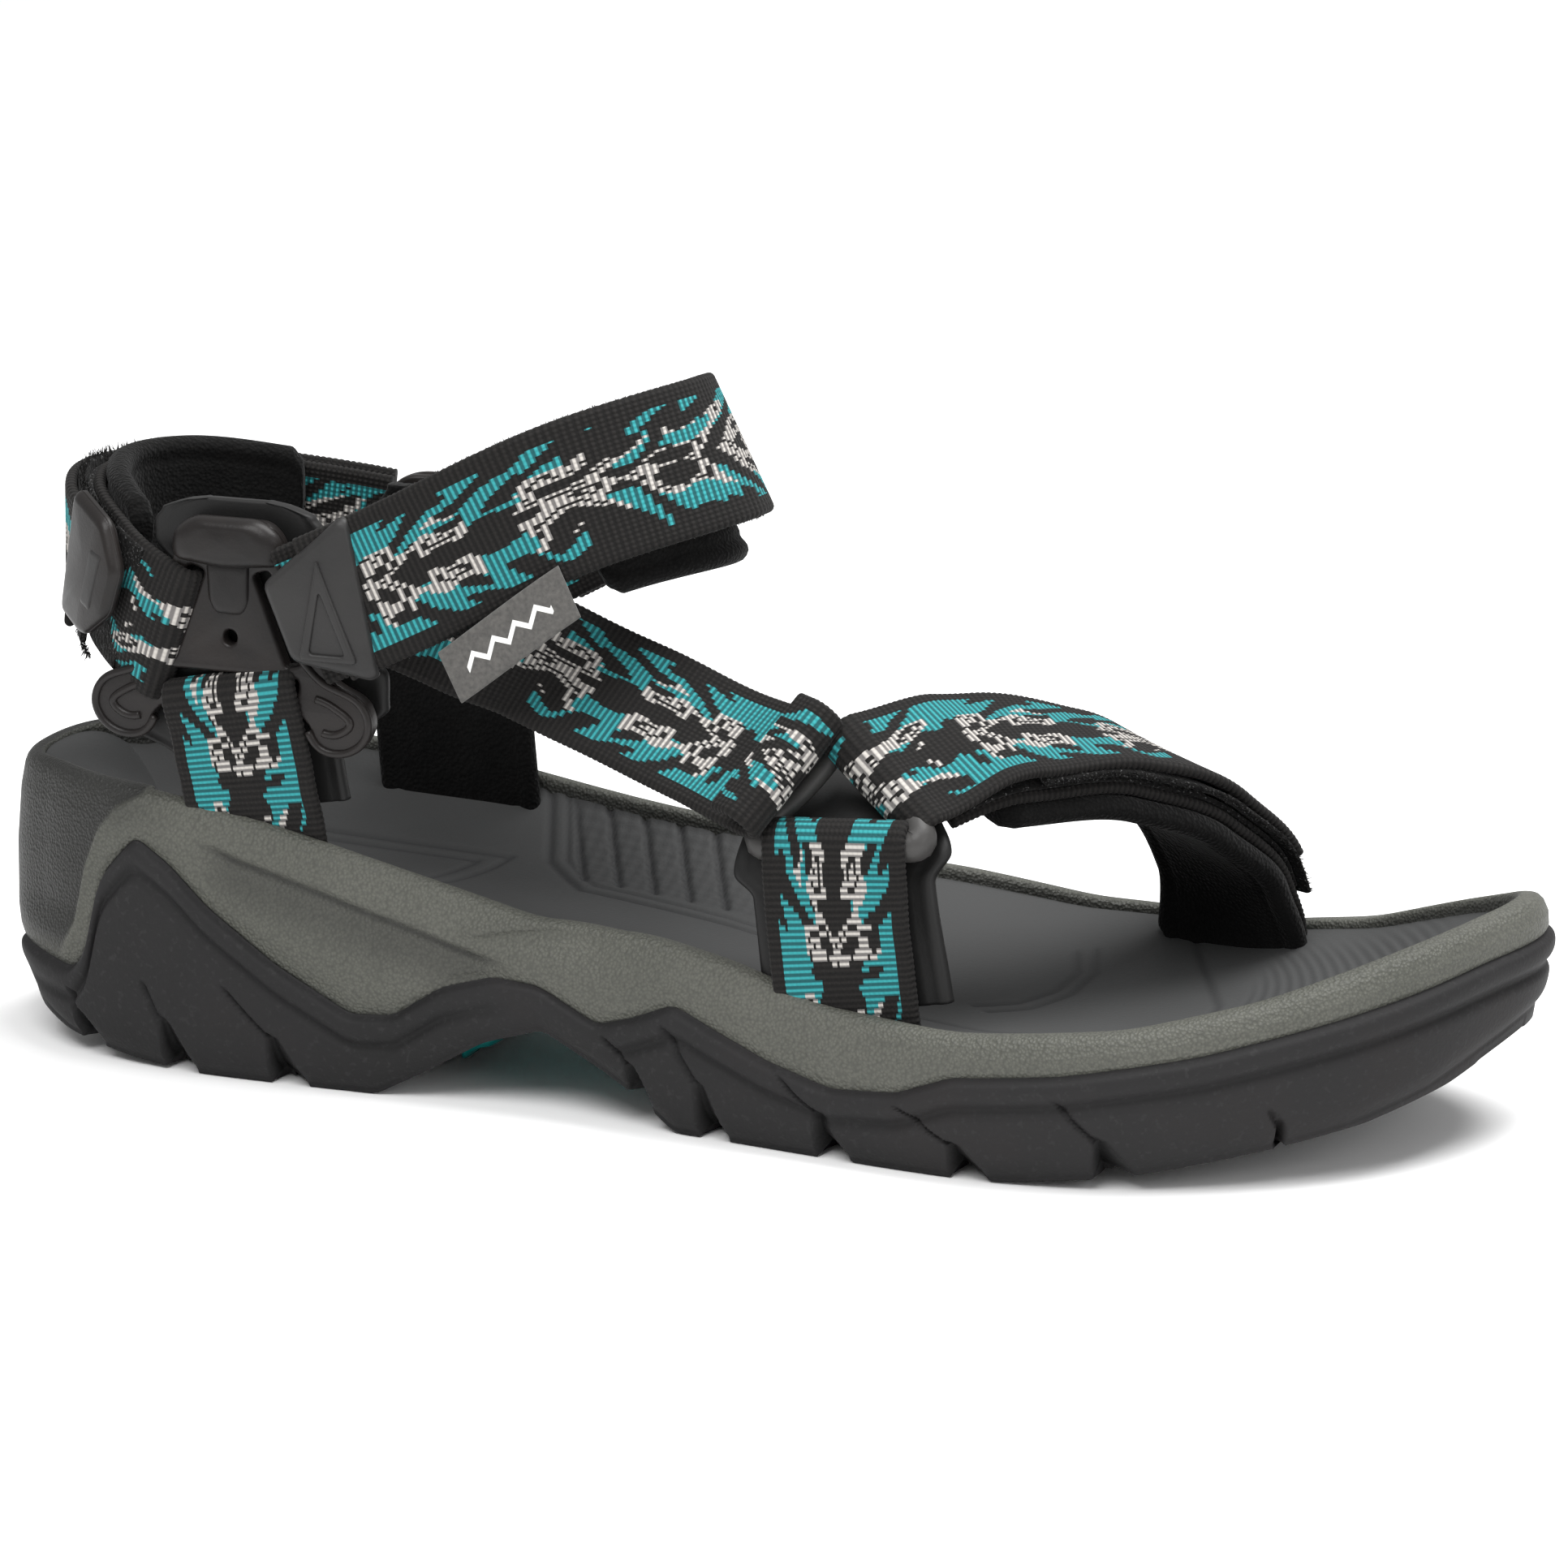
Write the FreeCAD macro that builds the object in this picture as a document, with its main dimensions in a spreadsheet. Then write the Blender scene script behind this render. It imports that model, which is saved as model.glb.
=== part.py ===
# Strappy sport sandal for the right foot: a wavy rubber outsole under a foam
# midsole, an inset footbed, and three webbing straps that close with flaps.
# Frame: X from heel to toe, Y to the inner (medial) side, Z up, ground at Z = 0,
# origin at the middle of the sole on the ground. Millimetres throughout.
import FreeCAD, Part
import Sketcher
import math
import os

V = FreeCAD.Vector
os.makedirs("parts", exist_ok=True)
doc = FreeCAD.newDocument("Sandal")

# ---------------------------------------------------------------- dimensions
sheet = doc.addObject("Spreadsheet::Sheet", "Dims")
DIMENSIONS = [
    ("sole_length", 276),
    ("sole_width", 98.5),
    ("blank_height", 70),
    ("blank_depth", 140),
    ("rim_wall", 5),
    ("outsole_wall", 4.5),
    ("outsole_floor", 6),
    ("rim_drop", 3),
    ("footbed_thickness", 5),
    ("shank_thickness", 4.5),
    ("webbing_width", 25),
    ("webbing_thickness", 2),
    ("loop_thickness", 0.95),
    ("hook_thickness", 1.2),
    ("pad_thickness", 4),
    ("backing_thickness", 2),
    ("link_thickness", 3),
    ("label_thickness", 1),
    ("tip_thickness", 3.0),
    ("layer_gap", 0.15),
    ("body_gap", 0.45),
]
for row, (alias, value) in enumerate(DIMENSIONS, start=1):
    sheet.set("A%d" % row, alias)
    sheet.set("B%d" % row, str(value))
    sheet.setAlias("B%d" % row, alias)
doc.recompute()


def dim(alias):
    return float(sheet.get(alias))


LENGTH = dim("sole_length")
WIDTH = dim("sole_width")
PARTS = []


def keep(obj, label):
    obj.Label = label
    PARTS.append(obj)
    return obj


# ------------------------------------------------------------- sole sketches
# Plan outline, clockwise from the heel along the outer (lateral) side: length
# fraction from the heel, and width fraction from the centre line.
OUTLINE = [
    (0.000, 0.028), (0.012, -0.124), (0.060, -0.256), (0.140, -0.327), (0.280, -0.353),
    (0.420, -0.378), (0.540, -0.429), (0.640, -0.480), (0.720, -0.500), (0.800, -0.470),
    (0.880, -0.373), (0.945, -0.226), (0.985, -0.033), (1.000, 0.099), (0.990, 0.221),
    (0.950, 0.322), (0.880, 0.419), (0.800, 0.480), (0.730, 0.493), (0.660, 0.460),
    (0.600, 0.414), (0.500, 0.353), (0.400, 0.333), (0.280, 0.348), (0.150, 0.353),
    (0.060, 0.287), (0.012, 0.170),
]


# Straight facets round the edge of the sole: flat walls keep the nested cuts exact.
FACETS = 60


def plan_sketch(body, inset):
    sketch = body.newObject("Sketcher::SketchObject", body.Name + "_plan")
    floor_plane = [f for f in body.Origin.OriginFeatures if f.Role == "XY_Plane"][0]
    sketch.AttachmentSupport = [(floor_plane, "")]
    sketch.MapMode = "FlatFace"
    along = LENGTH - 2 * inset
    across = WIDTH - 2 * inset
    points = [V((u - 0.5) * along, v * across, 0) for u, v in OUTLINE]
    curve = Part.BSplineCurve()
    curve.interpolate(Points=points, PeriodicFlag=True)
    low, high = curve.FirstParameter, curve.LastParameter
    stops = [curve.value(low + (high - low) * i / FACETS) for i in range(FACETS)]
    for a, b in zip(stops, stops[1:] + stops[:1]):
        sketch.addGeometry(Part.LineSegment(a, b), False)
    return sketch


def plan_blank(name, inset):
    body = doc.addObject("PartDesign::Body", name)
    sketch = plan_sketch(body, inset)
    pad = body.newObject("PartDesign::Pad", name + "_pad")
    pad.Profile = sketch
    pad.setExpression("Length", "Dims.blank_height")
    return body


def side_edges(top, bottom):
    # Closed side profile from two open chains, each a list of runs of points.
    edges = []
    for run in top + bottom:
        for (x0, z0), (x1, z1) in zip(run, run[1:]):
            edges.append(Part.LineSegment(V(x0, z0, 0), V(x1, z1, 0)))
    return edges


def side_prism(name, edges):
    # A side profile carried across the whole width of the sole.
    body = doc.addObject("PartDesign::Body", name)
    sketch = body.newObject("Sketcher::SketchObject", name + "_side")
    side_plane = [f for f in body.Origin.OriginFeatures if f.Role == "XZ_Plane"][0]
    sketch.AttachmentSupport = [(side_plane, "")]
    sketch.MapMode = "FlatFace"
    sketch.addGeometry(edges, False)
    pad = body.newObject("PartDesign::Pad", name + "_pad")
    pad.Profile = sketch
    pad.SideType = "Symmetric"
    pad.setExpression("Length", "Dims.blank_depth")
    return body


def side_loft(name, profiles):
    # A solid under a top surface: each profile is (y, points of the top curve).
    sections = []
    for index, (y, top) in enumerate(profiles):
        sketch = doc.addObject("Sketcher::SketchObject", "%s_%d" % (name, index))
        sketch.Placement = FreeCAD.Placement(V(0, y, 0), FreeCAD.Rotation(V(1, 0, 0), 90))
        first, last = top[0], top[-1]
        low = -20.0
        sketch.addGeometry(side_edges([top], [[last, (last[0], low)],
                                              [(last[0], low), (first[0], low)],
                                              [(first[0], low), first]]), False)
        sections.append(sketch)
    loft = doc.addObject("Part::Loft", name)
    loft.Sections = sections
    loft.Solid = True
    loft.Ruled = True
    return loft


END = LENGTH / 2 + 8
FRONT = LENGTH / 2

# Underside: heel strike, flat heel, arch, flat forefoot, toe spring.
HEEL_CURVE = [(-END, 60), (-FRONT, 24), (-133, 12), (-127, 6), (-120, 3.5), (-107, 1.5), (-94, 0)]
ARCH_CURVE = [(-58, 0), (-49, 5), (-38, 11.5), (-27, 15), (-16, 9.5), (-9, 5.5), (-2, 0)]
TOE_CURVE = [(55, 0), (79, 3.5), (91, 7), (104, 10), (115, 14), (126, 19), (FRONT, 28), (END, 60)]
UNDERSIDE = [HEEL_CURVE, [HEEL_CURVE[-1], ARCH_CURVE[0]], ARCH_CURVE,
             [ARCH_CURVE[-1], TOE_CURVE[0]], TOE_CURVE]


def raised(runs, lift):
    return [[(x, z + lift) for x, z in run] for run in runs]


def closed_above(runs, height):
    return runs + [[(END, runs[-1][-1][1]), (END, height)], [(END, height), (-END, height)],
                   [(-END, height), (-END, runs[0][0][1])]]


# Wavy parting line between rubber and foam, heel to toe.
WAVE = [(-END, 26), (-121, 20), (-113.5, 24), (-111, 35), (-103, 42), (-96, 37.5), (-89, 31),
        (-76, 22), (-62, 14.5), (-54, 15), (-45, 21), (-35, 24), (-27, 23.5), (-16, 18),
        (-9, 20), (-1.5, 23.3), (6, 20), (16, 16), (28, 13), (40, 14), (50, 18), (69, 20),
        (92, 24), (113, 29), (132, 34), (END, 36)]

# Top of the rim along the outer and inner sides, and the footbed down its middle.
RIM_OUTER = [(-END, 49), (-129, 51), (-101, 50), (-82, 47), (-55, 40), (-30, 34), (-6, 33.5),
             (9, 31), (26, 26), (49, 24.5), (80, 27), (102, 32), (122, 39), (END, 46)]
RIM_INNER = [(-END, 49), (-129, 50), (-101, 48), (-82, 47), (-55, 45), (-30, 41), (-6, 37),
             (9, 33.5), (26, 31), (49, 25.5), (80, 23.5), (102, 27), (122, 34), (END, 42)]
BED_MIDDLE = [(-END, 47), (-129, 41), (-101, 34.5), (-82, 33), (-55, 31.5), (-30, 29.5),
              (-6, 26.5), (9, 23.5), (26, 21), (49, 18.5), (80, 18.5), (102, 22), (122, 30),
              (END, 39)]
EDGE = 44.0
FAR = 60.0


def rim_at(y, drop):
    # Rim height at any distance from the centre line, straight between the sides.
    share = (y / EDGE + 1) / 2
    top = []
    for (x, outer), (_, inner) in zip(RIM_OUTER, RIM_INNER):
        top.append((x, outer + (inner - outer) * share - drop))
    return top


def bed_profiles(drop):
    side = dim("rim_drop") + drop
    return [(-EDGE - 2, rim_at(-EDGE, side)), (0, [(x, z - drop) for x, z in BED_MIDDLE]),
            (EDGE + 2, rim_at(EDGE, side))]


def cut(name, base, tool):
    obj = doc.addObject("Part::Cut", name)
    obj.Base = base
    obj.Tool = tool
    return obj


def common(name, base, tool):
    obj = doc.addObject("Part::Common", name)
    obj.Base = base
    obj.Tool = tool
    return obj


# ------------------------------------------------------------------ the sole
blank = plan_blank("sole_blank", 0)
under_rim = side_loft("under_rim", [(-FAR, rim_at(-FAR, 0)), (FAR, rim_at(FAR, 0))])
over_ground = side_prism("over_ground", side_edges(closed_above(UNDERSIDE, 66), []))
sole_block = common("sole_block", common("sole_trimmed", blank, under_rim), over_ground)

wave_runs = [WAVE]
below_wave = side_prism("below_wave", side_edges(
    [WAVE], [[(END, WAVE[-1][1]), (END, -12)], [(END, -12), (-END, -12)],
             [(-END, -12), (-END, WAVE[0][1])]]))
core_blank = plan_blank("core_blank", dim("outsole_wall"))
core_floor = side_prism("core_floor", side_edges(
    closed_above(raised(UNDERSIDE, dim("outsole_floor")), 74), []))
core = common("foam_core", core_blank, core_floor)
rubber_shell = cut("rubber_shell", common("rubber_layer", sole_block, below_wave), core)

# Slanted lug grooves across the tread: x of the groove at the ground, its width
# and its depth. Each is a wedge that leans forward as it rises.
GROOVES = [(-114, 4, 4.0), (-97, 5, 4.5), (-74, 5.5, 4.5), (6, 3.5, 4.5), (21, 5, 4.5),
           (44, 5.5, 4.5), (71, 6.5, 5.0), (99, 6, 5.0), (122, 4, 3.5)]


def ground_at(x):
    points = HEEL_CURVE + ARCH_CURVE + TOE_CURVE
    for (x0, z0), (x1, z1) in zip(points, points[1:]):
        if x0 <= x <= x1:
            return z0 + (z1 - z0) * (x - x0) / (x1 - x0)
    return 0.0


grooves = []
for index, (x, wide, deep) in enumerate(GROOVES):
    z = ground_at(x)
    lean = 0.45 * (deep + 8)
    corners = [(x - wide / 2, z - 8), (x + wide / 2, z - 8),
               (x + wide * 0.3 - lean + 3.6, z + deep), (x - wide * 0.3 - lean + 3.6, z + deep)]
    lines = []
    for a, b in zip(corners, corners[1:] + corners[:1]):
        lines.append(Part.LineSegment(V(a[0], a[1], 0), V(b[0], b[1], 0)))
    grooves.append(side_prism("groove_%d" % index, lines))
all_grooves = doc.addObject("Part::MultiFuse", "all_grooves")
all_grooves.Shapes = grooves
outsole = keep(cut("tread", rubber_shell, all_grooves), "outsole")

# Stiffening plate under the arch, between the heel lug and the forefoot.
shank_block = doc.addObject("Part::Box", "shank_block")
shank_block.Length = 44
shank_block.Width = 34
shank_block.Height = 30
shank_block.Placement.Base = V(-57.5, -19, 0.4)
shank_top = side_prism("shank_top", side_edges(
    closed_above(raised(UNDERSIDE, -dim("layer_gap")), 66), []))
shank_low = side_prism("shank_low", side_edges(
    closed_above(raised(UNDERSIDE, -dim("shank_thickness")), 66), []))
keep(cut("shank_plate", common("shank_lower", shank_block, shank_low), shank_top), "shank")

# Footbed inside the rim, and the foam that fills everything between.
recess_blank = plan_blank("recess_blank", dim("rim_wall"))
bed_blank = plan_blank("bed_blank", dim("rim_wall") + dim("layer_gap"))
bed_floor = side_loft("bed_floor", bed_profiles(dim("footbed_thickness")))
bed_top = side_loft("bed_top", bed_profiles(0))
recess = cut("recess", recess_blank, bed_floor)
foam = cut("foam", sole_block, rubber_shell)
foam = cut("foam_recessed", foam, recess)

footbed_solid = common("bed_layer", cut("bed_over", bed_blank, bed_floor), bed_top)

# ---------------------------------------------------------------- webbing
# A route is a list of (point on the middle surface, direction across the band).
# The outward normal is tangent x across.


def unit(vector):
    result = V(vector)
    result.normalize()
    return result


class Route:
    def __init__(self, keys):
        points = [V(*point) for point, _ in keys]
        self.across = [unit(V(*direction)) for _, direction in keys]
        spans = [0.0]
        for a, b in zip(points, points[1:]):
            spans.append(spans[-1] + a.distanceToPoint(b))
        self.length = spans[-1]
        self.params = [s / self.length for s in spans]
        self.path = Part.BSplineCurve()
        self.path.interpolate(Points=points, Parameters=self.params)

    def side(self, share):
        # Across direction, eased from key to key.
        for i in range(len(self.params) - 1):
            s0, s1 = self.params[i], self.params[i + 1]
            if share <= s1 or i == len(self.params) - 2:
                f = (share - s0) / (s1 - s0)
                f = f * f * (3 - 2 * f)
                return self.across[i] * (1 - f) + self.across[i + 1] * f

    def frame(self, share):
        # Point, across, outward normal and tangent; past either end it runs straight.
        inside = min(max(share, 0.0), 1.0)
        point = self.path.value(inside)
        tangent = unit(self.path.tangent(inside)[0])
        point = point + tangent * ((share - inside) * self.length)
        normal = unit(tangent.cross(self.side(inside)))
        across = unit(normal.cross(tangent))
        return point, across, normal, tangent


SPACING = 6.0   # target distance between the sections of a band


def band(label, route, start, end, offset, thick, wide, slide=0.0, ruled=False):
    # Lofted band along a route: offset outward from the route, slide along the
    # width; wide is one ratio of the webbing width or a list of (share, ratio).
    sections = []
    count = max(4, int(math.ceil((end - start) * route.length / SPACING)) + 1)
    ratios = wide if isinstance(wide, list) else [(start, wide), (end, wide)]
    for index in range(count):
        share = start + (end - start) * index / (count - 1)
        ratio = ratios[-1][1]
        for (s0, r0), (s1, r1) in zip(ratios, ratios[1:]):
            if s0 <= share <= s1 + 1e-9:
                ratio = r0 + (r1 - r0) * (share - s0) / (s1 - s0)
                break
        point, across, normal, tangent = route.frame(share)
        sketch = doc.addObject("Sketcher::SketchObject", "%s_s%d" % (label, index))
        sketch.Placement = FreeCAD.Placement(
            point + normal * offset + across * slide,
            FreeCAD.Rotation(across, normal, tangent, "XYZ"))
        half_w = dim("webbing_width") * ratio / 2
        half_t = dim(thick) / 2
        corners = [V(-half_w, -half_t, 0), V(half_w, -half_t, 0), V(half_w, half_t, 0),
                   V(-half_w, half_t, 0)]
        for a, b in zip(corners, corners[1:] + corners[:1]):
            sketch.addGeometry(Part.LineSegment(a, b), False)
        for line in range(4):
            sketch.addConstraint(Sketcher.Constraint("Coincident", line, 2, (line + 1) % 4, 1))
        sketch.addConstraint(Sketcher.Constraint("Horizontal", 0))
        sketch.addConstraint(Sketcher.Constraint("Vertical", 1))
        sketch.addConstraint(Sketcher.Constraint("Horizontal", 2))
        sketch.addConstraint(Sketcher.Constraint("Vertical", 3))
        sketch.addConstraint(Sketcher.Constraint("Symmetric", 0, 1, 1, 2, -1, 1))
        wide_at = sketch.addConstraint(Sketcher.Constraint("DistanceX", 0, 1, 0, 2, 2 * half_w))
        thick_at = sketch.addConstraint(Sketcher.Constraint("DistanceY", 1, 1, 1, 2, 2 * half_t))
        sketch.setExpression("Constraints[%d]" % wide_at, "Dims.webbing_width * %.4f" % ratio)
        sketch.setExpression("Constraints[%d]" % thick_at, "Dims." + thick)
        sections.append(sketch)
    loft = doc.addObject("Part::Loft", label)
    loft.Sections = sections
    loft.Solid = True
    loft.Ruled = ruled
    return keep(loft, label)


gap = dim("layer_gap")
web = dim("webbing_thickness")
loop = dim("loop_thickness")
hook = dim("hook_thickness")
BASE = -(loop + gap) / 2
LOOP = BASE + web / 2 + gap + loop / 2
HOOK = LOOP + loop / 2 + dim("body_gap") + hook / 2
FLAP = HOOK + hook / 2 + gap + web / 2
PAD = BASE - web / 2 - 2 * gap - dim("pad_thickness") / 2
TIP = HOOK + hook / 2 + gap + dim("tip_thickness") / 2

# Key places: strap guides beside the heel, crest of the instep, forefoot ring.
HOLE_OUTER = V(-84.5, -28.0, 78.4)
HOLE_INNER = V(-66.0, 28.0, 80.0)
RING_REAR = V(14, -36, 54)
RING_FRONT = V(39, -35, 56)
RING_TOP = V(23.5, -25, 70)

INSTEP = Route([
    ((-71, -31.3, 83.2), (-0.33, 0.00, 0.94)),
    ((-49, -29.0, 93.5), (-0.30, 0.05, 0.95)),
    ((-24, -22.5, 106.0), (-0.38, 0.06, 0.92)),
    ((-8, 0.0, 109.3), (-0.46, 0.02, 0.88)),
    ((-22, 22.5, 102.0), (-0.40, -0.06, 0.91)),
    ((-39, 29.5, 92.0), (-0.35, -0.03, 0.94)),
    ((-52.5, 31.3, 84.5), (-0.35, 0.00, 0.94)),
])
HEEL = Route([
    ((-97, -29.5, 78.5), (-0.20, 0.00, -0.98)),
    ((-109.5, -21, 83.5), (-0.10, -0.02, -0.99)),
    ((-118.5, -8.0, 87.5), (-0.03, 0.00, -1.00)),
    ((-120.5, 6.0, 88.0), (0.00, 0.00, -1.00)),
    ((-114, 18.5, 87.5), (0.00, 0.00, -1.00)),
    ((-99, 28.5, 85.0), (-0.05, 0.00, -1.00)),
    ((-79.5, 31.3, 82.5), (-0.15, 0.00, -0.98)),
])
TOE = Route([
    ((30.5, -23.5, 60.0), (-0.62, 0.50, 0.60)),
    ((46, -7.0, 62.5), (-0.70, 0.62, 0.35)),
    ((60, 9.0, 58.5), (-0.72, 0.66, 0.15)),
    ((71, 24.0, 49.0), (-0.80, 0.58, 0.05)),
    ((76.5, 35.0, 36.0), (-0.90, 0.40, 0.00)),
    ((76.0, 39.5, 17.0), (-1.00, 0.05, 0.00)),
])
DIAGONAL = Route([
    ((17, -28.5, 60.5), (0.32, 0.68, 0.66)),
    ((1, -23.5, 65.0), (0.15, 0.76, 0.63)),
    ((-16, -19.5, 70.0), (0.15, 0.75, 0.65)),
    ((-32, -18.5, 76.0), (0.12, 0.70, 0.70)),
    ((-46, -20.8, 82.6), (-0.05, 0.40, 0.91)),
    ((-57, -24.2, 87.6), (-0.25, 0.10, 0.96)),
])

# Instep closure.
band("instep_strap", INSTEP, 0.0, 1.0, BASE, "webbing_thickness", 1.0)
band("instep_loop_tape", INSTEP, 0.08, 0.80, LOOP, "loop_thickness", 0.94)
band("instep_pad", INSTEP, 0.36, 0.78, PAD, "pad_thickness", 1.24, slide=-3.0)
band("instep_flap_hook", INSTEP, 0.09, 0.66, HOOK, "hook_thickness", 1.04)
band("instep_flap", INSTEP, 0.055, 0.66, FLAP, "webbing_thickness", 1.04)
band("instep_flap_root", INSTEP, 0.668, 0.99, FLAP, "webbing_thickness", 1.04)
band("instep_flap_tip", INSTEP, -0.045, 0.05, TIP, "tip_thickness",
     [(-0.045, 0.36), (-0.03, 0.52), (0.05, 1.06)], slide=1.2, ruled=True)
band("instep_label", INSTEP, 0.19, 0.31, FLAP + web / 2 + 0.55 + dim("label_thickness") / 2,
     "label_thickness", 0.34, slide=-13.5)
band("diagonal_strap", DIAGONAL, 0.0, 1.0, 0, "webbing_thickness", 1.0)

# Heel closure.
band("heel_strap", HEEL, 0.0, 1.0, BASE, "webbing_thickness", 1.0)
band("heel_loop_tape", HEEL, 0.08, 0.62, LOOP, "loop_thickness", 0.94)
band("heel_pad", HEEL, 0.17, 0.84, PAD, "pad_thickness", 1.24)
band("heel_flap_hook", HEEL, 0.20, 0.62, HOOK, "hook_thickness", 1.04)
band("heel_flap", HEEL, 0.27, 0.62, FLAP, "webbing_thickness", 1.0)
band("heel_flap_root", HEEL, 0.63, 0.99, FLAP, "webbing_thickness", 1.0)
band("heel_flap_tip", HEEL, 0.115, 0.264, TIP, "tip_thickness",
     [(0.115, 0.40), (0.155, 0.88), (0.264, 0.96)], ruled=True)

# Toe closure.
band("toe_strap", TOE, 0.0, 1.0, BASE, "webbing_thickness", 1.0)
band("toe_loop_tape", TOE, 0.10, 0.84, LOOP + 0.7 * gap, "loop_thickness", 0.94)
band("toe_pad", TOE, 0.16, 0.93, PAD, "pad_thickness", 1.12)
band("toe_flap_hook", TOE, 0.24, 0.86, HOOK, "hook_thickness", 1.04)
band("toe_flap", TOE, 0.03, 0.80, FLAP, "webbing_thickness", 1.0)

# Anchors that rise from slots beside the footbed, and the linings behind them.
OUTER_ANCHOR = Route([((-80, -27.2, 40.0), (1.0, 0.0, 0.0)), ((-82, -28.4, 55.0), (1.0, 0.0, 0.1)),
                      ((-84.3, -28.9, 65.6), (1.0, 0.0, 0.15))])
INNER_ANCHOR = Route([((-63, 28.2, 38.5), (1.0, 0.0, 0.0)), ((-64.5, 28.7, 54.0), (1.0, 0.0, 0.05)),
                      ((-66, 28.9, 67.2), (1.0, 0.0, 0.05))])
TOE_ANCHOR = Route([((30.9, -39.3, 18.5), (1.0, 0.0, -0.1)), ((28.5, -38.6, 36.0), (1.0, 0.0, 0.0)),
                    ((26.8, -37.2, 50.3), (1.0, 0.0, 0.05))])
OUTER_LINING = Route([((-80.5, -23.4, 47.5), (1.0, 0.0, 0.0)), ((-83, -24.0, 66.0), (1.0, 0.0, 0.1)),
                      ((-84.3, -24.0, 84.0), (1.0, 0.0, 0.1)),
                      ((-84.6, -24.0, 101.5), (1.0, 0.0, 0.0))])
INNER_LINING = Route([((-63.5, 24.0, 46.0), (1.0, 0.0, 0.0)), ((-65, 23.7, 67.0), (1.0, 0.0, 0.05)),
                      ((-66, 23.4, 85.0), (1.0, 0.0, 0.0)), ((-66, 23.4, 102.5), (1.0, 0.0, 0.0))])
TOE_LINING = Route([((31, -35.6, 27.0), (1.0, 0.0, -0.14)), ((28.5, -34.8, 38.0), (1.0, 0.0, 0.0)),
                    ((26.5, -32.2, 49.0), (1.0, 0.0, 0.05)), ((25, -25.6, 56.0), (1.0, 0.0, 0.0)),
                    ((25, -18.0, 58.5), (1.0, 0.0, 0.0))])
band("heel_anchor_strap_lateral", OUTER_ANCHOR, 0.0, 1.0, 0, "webbing_thickness", 1.0)
band("heel_anchor_strap_medial", INNER_ANCHOR, 0.0, 1.0, 0, "webbing_thickness", 1.0)
band("toe_anchor_strap", TOE_ANCHOR, 0.0, 1.0, 0, "webbing_thickness", 1.0)
LINING_SHAPE = [(0.0, 1.2), (0.22, 1.2), (0.30, 2.0), (0.44, 2.1), (0.62, 1.1), (0.82, 0.9),
                (0.92, 1.12), (1.0, 0.7)]
band("heel_link_backing_lateral", OUTER_LINING, 0.0, 1.0, 0, "backing_thickness",
     LINING_SHAPE, ruled=True)
band("heel_link_backing_medial", INNER_LINING, 0.0, 1.0, 0, "backing_thickness",
     LINING_SHAPE, ruled=True)
band("toe_link_backing", TOE_LINING, 0.0, 1.0, 0, "backing_thickness",
     [(0.0, 1.3), (0.45, 1.25), (0.55, 1.5), (0.75, 1.3), (1.0, 0.45)], ruled=True)

# Slots at the edge of the footbed where the webbing goes down into the foam.
SLOT_HEIGHT = 16
LEG = V(76, 38.8, 16)


def slot(name, foot, spare):
    box = doc.addObject("Part::Box", name)
    box.setExpression("Length", "Dims.webbing_width + 1")
    box.setExpression("Width", "Dims.webbing_thickness + %.1f" % spare)
    box.Height = SLOT_HEIGHT
    box.Placement.Base = foot - V((dim("webbing_width") + 1) / 2, (web + spare) / 2, 3)
    return box


slots = doc.addObject("Part::MultiFuse", "slots")
slots.Shapes = [slot("slot_outer", OUTER_ANCHOR.frame(0.05)[0], 1.6),
                slot("slot_inner", INNER_ANCHOR.frame(0.05)[0], 1.6),
                slot("slot_toe", TOE_ANCHOR.frame(0.05)[0], 1.6),
                slot("slot_leg", LEG, 3)]
keep(cut("foam_slotted", foam, slots), "midsole")
keep(cut("bed_slotted", footbed_solid, slots), "footbed")

# -------------------------------------------------------------- strap guides
# Heel guide outline, right half from the top, relative to the rivet hole.
GUIDE = [(7.5, 20.6), (10.4, 17.5), (10.4, 13.6), (18.5, -6), (25.5, -9), (27, -13.5),
         (24, -18.6), (16.5, -19.2), (14.2, -12.6)]
SIDE_SLOT = [(4.5, 11.4), (7.6, 12.3), (13.7, -3.6), (10.6, -4.6)]
LOW_SLOT = (12.8, -6.3, -9.0)


def polygon(sketch, points):
    for a, b in zip(points, points[1:] + points[:1]):
        sketch.addGeometry(Part.LineSegment(V(a[0], a[1], 0), V(b[0], b[1], 0)), False)


def plate(label, loops, holes, placement):
    body = doc.addObject("PartDesign::Body", label + "_body")
    sketch = body.newObject("Sketcher::SketchObject", label + "_sketch")
    flat = [f for f in body.Origin.OriginFeatures if f.Role == "XY_Plane"][0]
    sketch.AttachmentSupport = [(flat, "")]
    sketch.MapMode = "FlatFace"
    for loop_points in loops:
        polygon(sketch, loop_points)
    for centre, radius in holes:
        sketch.addGeometry(Part.Circle(V(centre[0], centre[1], 0), V(0, 0, 1), radius), False)
    pad = body.newObject("PartDesign::Pad", label + "_pad")
    pad.Profile = sketch
    pad.SideType = "Symmetric"
    pad.setExpression("Length", "Dims.link_thickness")
    body.Placement = placement
    return keep(body, label)


def mirrored(points):
    return points + [(-x, y) for x, y in reversed(points)]


def guide(label, hole, forward):
    upright = V(0, 0, 1)
    normal = unit(forward.cross(upright))
    place = FreeCAD.Placement(hole, FreeCAD.Rotation(forward, upright, normal, "XYZ"))
    half, top, low = LOW_SLOT
    loops = [mirrored(GUIDE), SIDE_SLOT, [(-x, y) for x, y in SIDE_SLOT],
             [(-half, top), (half, top), (half, low), (-half, low)]]
    return plate(label, loops, [((0, 0), 1.3)], place)


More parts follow.
